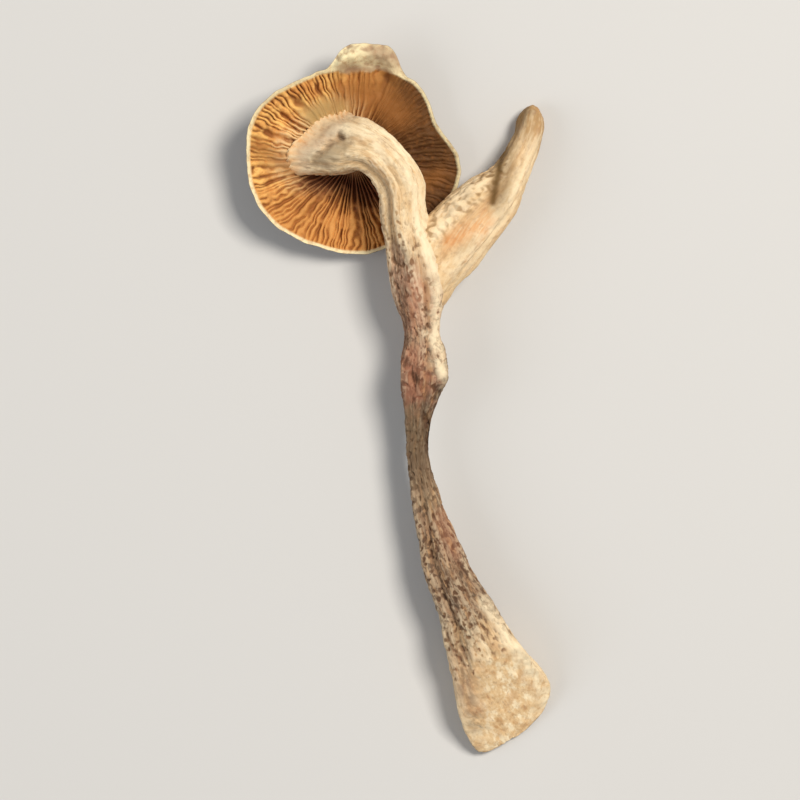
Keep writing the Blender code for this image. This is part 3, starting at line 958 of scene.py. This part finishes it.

# %% [markdown]
# Colour is laid on in the same strokes. Brown soaked in along the neck and in the pits, and along the
# inner side of the bend and in the pit beside the mouth it is partly painted shade. The branch has one
# orange streak. The outer ridge of the bend, the fork, the knuckle, the mouth and the lip of the foot get
# painted highlights in pale.

# %% Strokes of colour on the stem
# Brown streaks and specks; along the inner side of the bend and in the pit and fold of the mouth they are
# partly painted shade
STEM_BROWN_AND_SHADE = (
    Stroke(0.55, 0.8, ((-1.7, 9.4), (-1.3, 12.0), (-1.3, 14.3), (-1.8, 16.6), (-3.4, 18.4))),
    Stroke(0.35, 0.7, ((0.2, 8.0), (-0.2, 10.2), (-0.4, 12.4))),
    Stroke(0.35, 1.0, ((-4.8, 21.65), (-4.5, 21.5))),
    Stroke(0.24, 0.6, ((-4.7, 21.5), (-5.6, 21.0), (-6.6, 20.4))),
    Stroke(0.45, 1.0, ((1.0, 2.9), (1.4, 1.9), (2.0, 1.3))),
    Stroke(0.35, 0.9, ((0.4, 3.8), (0.7, 2.7))),
    Stroke(0.70, 0.8, ((0.3, 12.6), (0.4, 9.6), (0.6, 6.6), (0.5, 4.4))),
    Stroke(0.35, 0.8, ((2.3, -1.4), (2.5, -2.8), (2.6, -4.0))),
    Stroke(0.90, 0.4, ((1.2, -1.5), (1.5, -4.5), (1.8, -7.0))),
    Stroke(0.30, 0.7, ((4.2, -14.2), (4.5, -14.9))),
    Stroke(0.28, 0.7, ((5.0, -13.6), (5.2, -14.2))),
    Stroke(0.34, 0.8, ((5.6, -15.4), (5.9, -16.0))),
    Stroke(0.30, 0.5, ((6.2, -18.6), (6.5, -19.6))),
    Stroke(0.70, 0.55, ((5.0, -20.6), (5.9, -24.6), (6.6, -27.2))),
)
STEM_PINK = (
    Stroke(1.10, 0.9, ((1.0, 3.8), (1.4, 1.6), (1.2, 0.4))),
    Stroke(0.90, 0.8, ((1.6, 9.4), (1.0, 6.0))),
    Stroke(0.60, 0.5, ((-5.2, 22.1), (-7.0, 21.0), (-8.2, 20.1))),
    Stroke(0.90, 0.5, ((3.6, -9.5), (4.6, -12.5))),
    Stroke(1.00, 0.4, ((4.9, -21.5), (6.2, -25.5))),
)
STEM_GREY = (
    Stroke(0.65, 1.0, ((-6.7, 19.7), (-5.4, 20.3), (-4.3, 20.9))),
    Stroke(1.00, 0.5, ((1.2, -1.0), (1.5, -5.0), (2.6, -8.5))),
    Stroke(0.70, 0.5, ((3.4, 12.4), (2.8, 9.6))),
)
# Painted highlights on the edges that face the light: the outer ridge of the bend, the fork, the knuckle,
# the lip of the foot and the flare of the mouth
STEM_PAINTED_HIGHLIGHTS = (
    Stroke(0.60, 1.0, ((-2.6, 22.3), (-0.6, 21.5), (0.9, 19.6), (1.7, 16.6), (1.8, 13.8))),
    Stroke(0.60, 1.0, ((3.0, 5.2), (3.4, 3.8), (3.7, 2.2))),
    Stroke(0.70, 1.0, ((1.6, 15.2), (2.4, 13.0), (3.0, 10.8))),
    Stroke(0.35, 0.9, ((3.2, 9.4), (3.3, 7.4), (3.1, 5.4))),
    Stroke(0.50, 0.8, ((7.0, -16.6), (9.0, -19.8), (11.4, -22.4), (12.5, -24.4))),
    Stroke(0.55, 1.0, ((9.7, -20.4), (11.4, -22.8), (12.3, -25.0))),
    Stroke(0.70, 0.8, ((-5.6, 22.4), (-7.0, 21.6), (-8.3, 20.2))),
    Stroke(0.45, 0.8, ((-1.8, 20.8), (-1.1, 19.4))),
)
print("strokes of brown on the stem:", len(STEM_BROWN_AND_SHADE))

# %% [markdown]
# The branch has fewer marks, and each is plain to see: the groove and the left side of the tip in
# painted olive shade, the orange streak across its middle, a grey ridge beside the groove and a painted
# highlight along the right edge. They are strokes of the same kind.

# %% Strokes of colour on the branch
BRANCH_BROWN = (
    Stroke(0.30, 0.6, ((8.0, 19.4), (7.6, 18.6))),
    Stroke(0.30, 0.5, ((4.0, 15.2), (4.6, 15.9))),
    Stroke(0.25, 0.5, ((5.4, 16.4), (5.9, 16.9))),
)
# Painted olive shade in and beside the groove and along the left side of the tip
BRANCH_PAINTED_GROOVE_SHADE = (
    Stroke(0.40, 1.0, ((8.9, 20.9), (8.5, 19.6), (8.25, 18.4), (8.0, 17.2), (7.85, 16.3))),
    Stroke(0.70, 0.7, ((10.4, 24.0), (9.7, 22.8), (9.0, 21.4), (8.6, 20.4))),
    Stroke(0.70, 0.4, ((9.0, 19.4), (8.6, 17.6), (8.2, 15.8))),
)
BRANCH_RUST = (
    Stroke(0.75, 1.0, ((4.5, 13.2), (6.0, 13.9), (7.4, 14.9))),
)
BRANCH_GREY = (
    Stroke(0.45, 0.6, ((9.6, 20.6), (9.2, 18.6), (8.9, 16.8))),
    Stroke(0.50, 0.5, ((5.0, 12.0), (6.2, 13.0))),
)
# Painted highlights along the right ridge and on the top edge of the left face
BRANCH_PAINTED_HIGHLIGHTS = (
    Stroke(0.70, 0.7, ((4.6, 10.4), (6.4, 12.1), (8.6, 15.0), (10.2, 18.0), (11.3, 21.4))),
    Stroke(0.45, 0.8, ((3.2, 13.6), (4.6, 16.0), (6.4, 18.2))),
)

# %% [markdown]
# A crease is narrow and a hollow is wide, and both are painted darker as shade. They are told apart by
# how far the relief was smoothed before it was compared. The cut face gets a grain of its own, measured
# down its slope, because its fibres are seen end on and don't follow the skin.

# %% The stem and the branch with their numbers
HOLLOW_ROUNDS = 140
FINE_ROUNDS = 8
CUT_ROUNDS = 120
EDGE_WOBBLE = 0.6
FIRST_BRUSH_SEED = 71


def skin_marks(skin, points, swelling, pits, brushes, cut):
    """Everything that the finish of a stem reads from its mesh."""
    marks = {
        "along": np.broadcast_to(skin.share, swelling.shape),
        "crease": sunk_in(swelling),
        "hollow": smoothed(swelling, HOLLOW_ROUNDS) - smoothed(swelling, FINE_ROUNDS),
        "pit": pits,
        "cut": smoothed(np.broadcast_to(cut, swelling.shape), CUT_ROUNDS),
    }
    for seed, (colour, strokes) in enumerate(brushes.items(), FIRST_BRUSH_SEED):
        marks[colour] = brushed(points, strokes, EDGE_WOBBLE, seed)
    return {name: with_ends(field) for name, field in marks.items()}


stem_brushes = {"brown": STEM_BROWN_AND_SHADE, "pink": STEM_PINK, "grey": STEM_GREY, "pale": STEM_PAINTED_HIGHLIGHTS}
stem_pitted = stem_pits(stem_skin)
stem_marks = skin_marks(stem_skin, stem_points, stem_swelling, stem_pitted, stem_brushes, on_cut)
stem_marks["mouth"] = with_ends(at_gills)
stem_marks["mouth_gill"] = with_ends(bell_ridges)
stem_marks["face"] = with_ends(on_cut)
stem_points = rest_on_floor(close_ends(stem_points, bulge=0.1, roughness=0.15, seed=34))
face_down, face_across = down_the_cut(stem_points[..., 0], stem_points[..., 1])
face_grain = np.stack((face_across, stem_points[..., 2], face_down), axis=-1)
stem_grains = {"skin_grain": with_ends(stem_skin.grain), "face_grain": face_grain}
stem_piece = make_piece("stem", stem_points, stem_marks, stem_grains)

branch_brushes = {"brown": BRANCH_BROWN, "rust": BRANCH_RUST, "grey": BRANCH_GREY, "pale": BRANCH_PAINTED_HIGHLIGHTS}
branch_pitted = branch_pits(branch_skin)
branch_marks = skin_marks(branch_skin, branch_points, branch_swelling, branch_pitted, branch_brushes, 0.0)
branch_marks["olive"] = with_ends(brushed(branch_points, BRANCH_PAINTED_GROOVE_SHADE, wobble=0.2, seed=75))
branch_points = rest_on_floor(close_ends(branch_points, bulge=0.3, roughness=0.06, seed=48))
branch_grains = {"skin_grain": with_ends(branch_skin.grain)}
branch_piece = make_piece("side_branch", branch_points, branch_marks, branch_grains)

# %% [markdown]
# Finishes are built as small sums. This helper wraps a socket, so that adding or multiplying two values
# in Python lays the matching Math node, and 1 - mask works too. A finish then reads like the recipe of
# a glaze.

# %% A value with the sums of Python
class Value:
    """A number that changes over the surface, with the sums of Python."""

    def __init__(self, board, socket):
        self.board = board
        self.socket = socket

    def __add__(self, other):
        return self.board.sum("ADD", self, other)

    def __sub__(self, other):
        return self.board.sum("SUBTRACT", self, other)

    def __rsub__(self, other):
        return self.board.sum("SUBTRACT", other, self)

    def __mul__(self, other):
        return self.board.sum("MULTIPLY", self, other)

    __radd__ = __add__
    __rmul__ = __mul__


# %% [markdown]
# A board holds one material and lays its nodes. Every node comes from one method, and the few kinds
# that a dried skin needs get a short name each: clouds for blotches, a rise for a soft threshold, a
# mix, a stain and a ramp.

# %% A board for laying out finishes
MATT_SHEEN = 0.3


class Board:
    """One material, laid out from the first mark to the last."""

    def __init__(self, name):
        self.material = bpy.data.materials.new(name)
        self.material.use_nodes = True
        self.tree = self.material.node_tree
        self.shader = self.tree.nodes["Principled BSDF"]

    def node(self, kind, settings, inputs, output=0):
        """Any node: its settings first, then the values or links of its sockets."""
        made = self.tree.nodes.new(kind)
        for key, value in settings.items():
            if key == "stops":
                self.set_stops(made.color_ramp, value)
            else:
                setattr(made, key, value)
        for key, value in inputs.items():
            self.feed(made.inputs[key], value)
        return Value(self, made.outputs[output])

    def set_stops(self, band, stops):
        """Puts (place, colour) stops on a ramp."""
        band.interpolation = "EASE"
        for _ in stops[2:]:
            band.elements.new(0.5)
        for element, (place, colour) in zip(band.elements, stops):
            element.position = place
            element.color = colour

    def feed(self, socket, value):
        """A link if the value comes from a node, and a plain setting if it doesn't."""
        if isinstance(value, Value):
            self.tree.links.new(value.socket, socket)
        else:
            socket.default_value = value

    def sum(self, operation, first, second):
        """One sum on two numbers."""
        return self.node("ShaderNodeMath", {"operation": operation}, {0: first, 1: second})

    def mark(self, name):
        """A number that the mesh remembers."""
        return self.node("ShaderNodeAttribute", {"attribute_name": name}, {}, "Fac")

    def grain(self, name, over, along):
        """The millimetres of a skin or a cut face, scaled across the fibres and along them."""
        place = self.node("ShaderNodeAttribute", {"attribute_name": name}, {}, "Vector")
        scale = {"Vector": place, "Scale": (over, over, along)}
        return self.node("ShaderNodeMapping", {"vector_type": "POINT"}, scale)

    def clouds(self, over, along, detail=4.0, roughness=0.6, grain="skin_grain"):
        """Soft random clouds between 0 and 1, centred on 0.5."""
        place = self.grain(grain, over, along)
        inputs = {"Vector": place, "Scale": 1.0, "Detail": detail, "Roughness": roughness}
        return self.node("ShaderNodeTexNoise", {"noise_dimensions": "3D"}, inputs)

    def rise(self, low, high, value):
        """0 at low, 1 at high, and a smooth rise between them."""
        inputs = {"Value": value, 1: low, 2: high, 3: 0.0, 4: 1.0}
        return self.node("ShaderNodeMapRange", {"interpolation_type": "SMOOTHSTEP"}, inputs)

    def mix(self, share, first, second):
        """From the first colour to the second."""
        settings = {"data_type": "RGBA", "clamp_factor": True}
        return self.node("ShaderNodeMix", settings, {0: share, 6: first, 7: second}, 2)

    def stain(self, share, colour, tint):
        """Darkens a colour by a tint without hiding its detail."""
        settings = {"data_type": "RGBA", "blend_type": "MULTIPLY", "clamp_factor": True}
        return self.node("ShaderNodeMix", settings, {0: share, 6: colour, 7: tint}, 2)

    def ramp(self, value, stops):
        """A colour for each value, from a row of (place, colour) stops."""
        return self.node("ShaderNodeValToRGB", {"stops": stops}, {0: value})

    def finish(self, colour, roughness, height, depth_mm):
        """Sends the colour, roughness and fine relief to the shader."""
        self.feed(self.shader.inputs["Base Color"], colour)
        self.feed(self.shader.inputs["Roughness"], roughness)
        self.feed(self.shader.inputs["Specular IOR Level"], MATT_SHEEN)
        inputs = {"Height": height, "Strength": 1.0, "Distance": depth_mm * MM}
        self.feed(self.shader.inputs["Normal"], self.node("ShaderNodeBump", {}, inputs))
        print(self.material.name, "has", len(self.tree.nodes), "nodes")
        return self.material


# %% [markdown]
# Dried skin is not one colour. Where the stem was cut it is cream, and the lower stem is taupe with
# brown speckles. The neck is dark, the knuckle pinkish, and the fork and the bent top are cream again
# with brown streaks along the fibres. The folds are painted dark as shade, and their crests pale as a
# painted highlight.

# %% The colours of dried skin
def paint(red, green, blue):
    """A colour as it is seen on a screen, 0 to 255, turned into the light that it stands for."""
    linear = [((shade / 255 + 0.055) / 1.055) ** 2.4 for shade in (red, green, blue)]
    return (*linear, 1.0)


CREAM = paint(223, 190, 143)
PALE = paint(248, 229, 192)
TAN = paint(196, 152, 104)
OCHRE = paint(178, 142, 96)
TAUPE = paint(168, 134, 104)
PINK_TAUPE = paint(190, 150, 120)
LOWER_TAUPE = paint(134, 104, 78)
DARK_TAUPE = paint(84, 64, 49)
KNUCKLE_BROWN = paint(142, 96, 72)
PIT_BROWN = paint(128, 90, 58)
PIT_TAN = paint(142, 108, 66)
# Painted olive shade for the branch's groove
OLIVE_SHADE = paint(104, 76, 36)
GILL_TAN = paint(212, 148, 78)
GREY = paint(158, 134, 100)
NECK_STAIN = paint(214, 206, 202)
PINK_BROWN = paint(178, 116, 88)
DEEP_BROWN = paint(82, 52, 32)
RUST = paint(216, 142, 78)

# %% [markdown]
# The stem and the branch aged in the same way, so they share two recipes. The first is what drying did
# all over: streaks, mottling and brown pits, with painted shade in the hollows and folds and painted
# highlights on the crests. The second lays the strokes over it, broken up by clouds, because no real
# stain has a clean edge.

# %% The recipes that both skins share
def aged(board, colour, streaks, lightness, pit_colour, crease_shade_strength):
    """Streaks along the fibres, brown pits, painted shade in the hollows and folds, and painted highlights
    on the crests, over a base colour.
    """
    colour = board.mix(board.rise(0.50, 0.66, streaks) * 0.6, colour, TAN)
    colour = board.mix(board.rise(0.52, 0.36, streaks) * lightness, colour, PALE)
    mottling = board.clouds(1.6, 1.0, 4.0, 0.7)
    colour = board.mix(board.rise(0.52, 0.70, mottling) * 0.55, colour, TAUPE)
    crease = board.mark("crease")
    # Painted shade in the wide hollows, then a painted highlight on the crests
    colour = board.mix(board.rise(0.03, 0.35, board.mark("hollow")) * 0.4, colour, TAN)
    colour = board.mix(board.rise(-0.01, -0.06, crease) * lightness, colour, PALE)
    colour = board.mix(board.rise(0.10, 0.70, board.mark("pit")) * 0.75, colour, pit_colour)
    # Painted shade in the folds, in the colour of the pits
    return board.mix(board.rise(0.03, 0.20, crease) * crease_shade_strength, colour, pit_colour)


def brushed_over(board, colour, strength):
    """The strokes that stems and branches share: grey, then pale painted highlights, then brown that is
    partly painted shade.
    """
    broken = board.clouds(2.4, 1.0, 4.0, 0.7)
    colour = board.mix(board.mark("grey") * 0.7, colour, GREY)
    # The pale strokes are painted highlights
    colour = board.mix(board.mark("pale") * board.rise(0.30, 0.55, broken) * strength, colour, PALE)
    # The brown strokes are partly painted shade
    return board.mix(board.mark("brown") * board.rise(0.35, 0.60, broken) * strength, colour, DEEP_BROWN)


# %% [markdown]
# The stem's base colour changes in bands along its length, and blotches shift the edges of the bands.
# The shared recipes come over it. Then the cut face shows its fibre ends, and the mouth takes on the
# colour of the gills where they run up it.

# %% The stem's finish
def cut_face(board, fibre_ends):
    """The knife cut: pale and cream fibre ends, with tan and taupe patches."""
    colour = board.ramp(fibre_ends, ((0.38, PALE), (0.52, CREAM), (0.66, TAN)))
    patches = board.clouds(0.6, 0.4, 4.0, 0.6, "face_grain")
    colour = board.mix(board.rise(0.52, 0.64, patches) * 0.5, colour, TAN)
    specks = board.clouds(3.2, 1.6, 3.0, 0.6, "face_grain")
    return board.mix(board.rise(0.56, 0.68, specks) * 0.45, colour, TAUPE)


def stem_finish():
    """Cream foot, taupe lower stem, dark neck, pinkish knuckle, and cream again to the mouth."""
    board = Board("dried stem skin")
    along = board.mark("along")
    blotches = board.clouds(0.7, 0.3)
    streaks = board.clouds(2.6, 0.22, 5.0, 0.65)
    stops = (
        (0.00, CREAM), (0.12, CREAM), (0.22, LOWER_TAUPE), (0.38, LOWER_TAUPE),
        (0.43, DARK_TAUPE), (0.52, DARK_TAUPE), (0.56, KNUCKLE_BROWN), (0.60, TAUPE),
        (0.70, PINK_TAUPE), (0.78, CREAM), (0.90, CREAM), (1.00, PALE),
    )
    colour = board.ramp(along + (blotches - 0.5) * 0.16, stops)
    lower = board.rise(0.12, 0.24, along) * board.rise(0.72, 0.60, along)
    pit_colour = board.mix(lower, PIT_BROWN, DEEP_BROWN)
    colour = aged(board, colour, streaks, 0.45 - lower * 0.25, pit_colour, lower * 0.35 + 0.3)
    specks = board.clouds(3.6, 2.0, 3.0, 0.6)
    colour = board.mix(board.rise(0.50, 0.62, specks) * (lower * 0.5 + 0.2), colour, DARK_TAUPE)
    neck = board.rise(0.34, 0.44, along + (blotches - 0.5) * 0.1) * board.rise(0.56, 0.50, along)
    colour = board.stain(neck, colour, NECK_STAIN)
    fibre_ends = board.clouds(1.6, 0.5, 5.0, 0.65, "face_grain")
    on_face = board.rise(0.35, 0.9, board.mark("cut") + (fibre_ends - 0.5) * 0.8) * 0.9
    colour = board.mix(on_face, colour, cut_face(board, fibre_ends))
    colour = board.mix(board.mark("pink") * 0.55, colour, PINK_BROWN)
    colour = brushed_over(board, colour, 0.85)
    reached = board.rise(0.30, 1.0, board.mark("mouth") + (blotches - 0.5) * 0.8) * 0.85
    gills = board.mix(board.mark("mouth_gill"), GILL_TAN, CREAM)
    colour = board.mix(reached, colour, gills)
    roughness = board.rise(0.2, 0.8, blotches) * 0.2 + 0.68
    grit = board.clouds(9.0, 1.5, 4.0, 0.6)
    grit = grit + board.mark("face") * (board.clouds(7.0, 2.5, 4.0, 0.6, "face_grain") - grit)
    return board.finish(colour, roughness, grit, 0.05)


stem_piece.data.materials.append(stem_finish())

# %% [markdown]
# The branch is cream with an ochre tip. It has the stem's recipes with milder pits, and over them its
# own two strokes: the orange streak on its middle and the painted olive shade in its groove.

# %% The side branch's finish
def branch_finish():
    """Cream to ochre, with an orange streak and painted olive shade in the groove."""
    board = Board("dried branch skin")
    along = board.mark("along")
    blotches = board.clouds(0.7, 0.35)
    streaks = board.clouds(2.2, 0.2, 5.0, 0.65)
    stops = ((0.0, CREAM), (0.72, CREAM), (0.88, OCHRE), (1.0, OCHRE))
    colour = board.ramp(along + (blotches - 0.5) * 0.2, stops)
    colour = aged(board, colour, streaks, 0.3, PIT_TAN, 0.4)
    specks = board.clouds(3.2, 2.2, 3.0, 0.6)
    colour = board.mix(board.rise(0.52, 0.66, specks) * 0.35, colour, TAUPE)
    colour = board.mix(board.mark("rust") * board.rise(0.3, 0.6, streaks) * 0.7, colour, RUST)
    colour = brushed_over(board, colour, 0.7)
    # Painted olive shade in the groove and along the tip's left side
    colour = board.mix(board.mark("olive") * 0.95, colour, OLIVE_SHADE)
    roughness = board.rise(0.2, 0.8, blotches) * 0.2 + 0.66
    return board.finish(colour, roughness, board.clouds(9.0, 1.5, 4.0, 0.6), 0.05)


branch_piece.data.materials.append(branch_finish())

# %% [markdown]
# The gills dried to a warm orange-tan on their edges and brown between them. The edges on the lit
# side get a painted highlight, and the gaps and the side under the bend get painted shade. The margin is
# cream. The skin under the cap is a wrinkled grey-brown.

# %% The colours of the cap
# The gill edges on the lit side get a painted highlight, and the gaps and wedges between the gills are
# brown darkened as painted shade. The dark and red colours are painted shade on the shaded side and under
# the bend, and the brown of the flat zones is darkened as shade. Underneath, the crease colour is painted
# shade and the pale one a painted highlight.
GILL_PAINTED_HIGHLIGHT = paint(242, 188, 108)
GILL_GAP_BROWN_AND_SHADE = paint(160, 100, 46)
GILL_OLIVE = paint(160, 128, 72)
GILL_BROWN_AND_SHADE = paint(148, 93, 40)
GILL_WEDGE_SHADE = paint(112, 62, 26)
GILL_PAINTED_SHADE = paint(68, 38, 10)
GILL_RED_SHADE = paint(98, 46, 26)
MARGIN_CREAM = paint(240, 224, 178)
SKIN_GREY = paint(150, 127, 108)
SKIN_DARK = paint(100, 80, 66)
SKIN_CREST_HIGHLIGHT = paint(184, 162, 134)
CREASE_SHADE = paint(66, 42, 24)


# %% [markdown]
# Three recipes are made, one each for the gills, the margin and the skin underneath, and the numbers on
# the mesh say where each of them shows. The gills' recipe starts from the height of a gill: orange-tan on
# its edge, with a painted highlight on the lit side, and brown with painted shade in the gap. The zones
# come over it, some of them painted shade, and the mouth of the stem turns the gills next to it cream.

# %% The cap's finish
def gill_colour(board, fine):
    """Orange-tan edges over brown gaps with painted shade, a painted highlight on the lit side, painted
    shade on the shaded side and under the bend, and the zones laid over them.
    """
    gill = board.mark("gill")
    # The lit side's gill edges get a painted highlight, and the gaps get brown with painted shade, darkest
    # in the wedges near the rim
    bright = board.mark("bright") * board.rise(0.40, 0.58, board.clouds(0.8, 0.8))
    wedge_shade = board.rise(0.70, 0.95, board.mark("out")) * board.mark("bright")
    gap = board.mix(wedge_shade, GILL_GAP_BROWN_AND_SHADE, GILL_WEDGE_SHADE)
    colour = board.mix(board.rise(0.15, 0.8, gill), gap, board.mix(bright, GILL_TAN, GILL_PAINTED_HIGHLIGHT))
    # Painted shade on the shaded side and under the bend
    colour = board.mix(board.mark("shaded") * 0.9, colour, GILL_PAINTED_SHADE)
    colour = board.mix(board.mark("red") * 0.9, colour, GILL_RED_SHADE)
    colour = board.mix(board.rise(0.50, 0.75, fine) * 0.35, colour, GILL_GAP_BROWN_AND_SHADE)
    mouth = board.rise(0.25, 0.95, board.mark("mouth") + (fine - 0.5) * 0.9)
    mouth = mouth * (1 - board.mark("shaded")) * (1 - board.mark("red"))
    colour = board.mix(mouth * (board.rise(0.2, 0.9, gill) * 0.6 + 0.25), colour, CREAM)
    colour = board.mix(board.mark("olive") * 0.85, colour, GILL_OLIVE)
    # The brown zones are darkened partly as painted shade
    return board.mix(board.mark("brown") * 0.85, colour, GILL_BROWN_AND_SHADE)


def margin_colour(board, fine):
    """Cream, tan in patches, taupe as painted shade in the creases of the roll, and grey with painted shade
    along the roll's inner edge.
    """
    colour = board.mix(board.rise(0.45, 0.7, fine) * 0.6, MARGIN_CREAM, TAN)
    # Painted shade in the creases of the roll
    colour = board.mix(board.rise(0.01, 0.12, board.mark("crease")) * 0.8, colour, TAUPE)
    # Grey on the roll's right end, with painted shade along its inner edge
    return board.mix(board.mark("grey") * 0.75, colour, TAUPE)


def under_colour(board):
    """Grey-brown blotches, painted shade in the creases and painted highlights on the crests."""
    crease = board.mark("crease")
    colour = board.mix(board.rise(0.35, 0.65, board.clouds(1.0, 1.0)), SKIN_GREY, SKIN_DARK)
    # Painted shade in the creases, then a painted highlight on the crests
    colour = board.mix(board.rise(0.01, 0.08, crease) * 0.6, colour, CREASE_SHADE)
    return board.mix(board.rise(-0.01, -0.06, crease) * 0.4, colour, SKIN_CREST_HIGHLIGHT)


def cap_finish():
    """Gills, then the margin round them, then the skin underneath."""
    board = Board("dried cap flesh")
    fine = board.clouds(2.5, 2.5)
    margin = (1 - board.mark("gilled")) * board.rise(0.7, 0.8, board.mark("out"))
    colour = board.mix(margin, gill_colour(board, fine), margin_colour(board, fine))
    colour = board.mix(board.mark("under"), colour, under_colour(board))
    roughness = board.rise(0.2, 0.8, fine) * 0.2 + 0.62
    return board.finish(colour, roughness, board.clouds(7.0, 7.0, 4.0, 0.6), 0.04)


cap_piece.data.materials.append(cap_finish())

# %% [markdown]
# The mushroom lies on a plain pale floor. The floor is a little darker than white, so that the light on
# it doesn't burn out, and it is matt, so that it throws back no sheen.

# %% Floor
FLOOR_HALF = 3.0
FLOOR_WHITE = (0.62, 0.61, 0.59, 1.0)
FLOOR_ROUGHNESS = 0.9


def make_floor():
    """A pale floor that reaches past the picture on every side."""
    mesh = bpy.data.meshes.new("floor")
    corners = [(x * FLOOR_HALF, y * FLOOR_HALF, 0.0) for x, y in ((-1, -1), (1, -1), (1, 1), (-1, 1))]
    mesh.from_pydata(corners, [], [(0, 1, 2, 3)])
    floor = bpy.data.objects.new("floor", mesh)
    bpy.context.scene.collection.objects.link(floor)
    board = Board("pale floor")
    board.feed(board.shader.inputs["Base Color"], FLOOR_WHITE)
    board.feed(board.shader.inputs["Roughness"], FLOOR_ROUGHNESS)
    floor.data.materials.append(board.material)


make_floor()
print("the floor is", 2 * FLOOR_HALF, "m wide")

# %% [markdown]
# One broad warm light from the upper right draws out the folds. A weak cool one from the left and a dim
# room keep the shadows open.

# %% Lights
WINDOW_PLACE = (0.26, 0.18, 0.50)
WINDOW_SIZE = 0.20
WINDOW_POWER = 3.45
WINDOW_COLOUR = (1.0, 0.95, 0.88)
FILL_PLACE = (-0.45, -0.10, 0.35)
FILL_SIZE = 0.4
FILL_POWER = 1.0
FILL_COLOUR = (0.93, 0.96, 1.0)
ROOM_LIGHT = 0.27
ROOM_COLOUR = (0.95, 0.97, 1.0, 1.0)


def add_light(name, place, size, power, colour):
    """A square soft light that looks at the middle of the mushroom."""
    light = bpy.data.lights.new(name, "AREA")
    light.size = size
    light.energy = power
    light.color = colour
    lamp = bpy.data.objects.new(name, light)
    lamp.location = place
    lamp.rotation_euler = (-Vector(place)).to_track_quat("-Z", "Y").to_euler()
    bpy.context.scene.collection.objects.link(lamp)


add_light("window light", WINDOW_PLACE, WINDOW_SIZE, WINDOW_POWER, WINDOW_COLOUR)
add_light("fill light", FILL_PLACE, FILL_SIZE, FILL_POWER, FILL_COLOUR)
world = bpy.data.worlds.new("soft room")
world.use_nodes = True
room = world.node_tree.nodes["Background"]
room.inputs["Color"].default_value = ROOM_COLOUR
room.inputs["Strength"].default_value = ROOM_LIGHT
bpy.context.scene.world = world
bpy.context.scene.view_settings.view_transform = "Standard"
print("lights of", WINDOW_POWER, "W and", FILL_POWER, "W")

# %% [markdown]
# A long lens from straight above hardly bends the small mushroom: near and far parts keep their true
# proportions, as they do in a picture taken from far away.

# %% Camera
CAMERA_LENS = 243
CAMERA_HEIGHT = 0.450
camera_data = bpy.data.cameras.new("camera")
camera_data.lens = CAMERA_LENS
camera_data.clip_start = MM
camera = bpy.data.objects.new("camera", camera_data)
middle = (cad_low + cad_high) / 2
camera.location = (middle.x, middle.y, CAMERA_HEIGHT)
bpy.context.scene.collection.objects.link(camera)
bpy.context.scene.camera = camera
print("the camera looks down from", CAMERA_HEIGHT, "m")
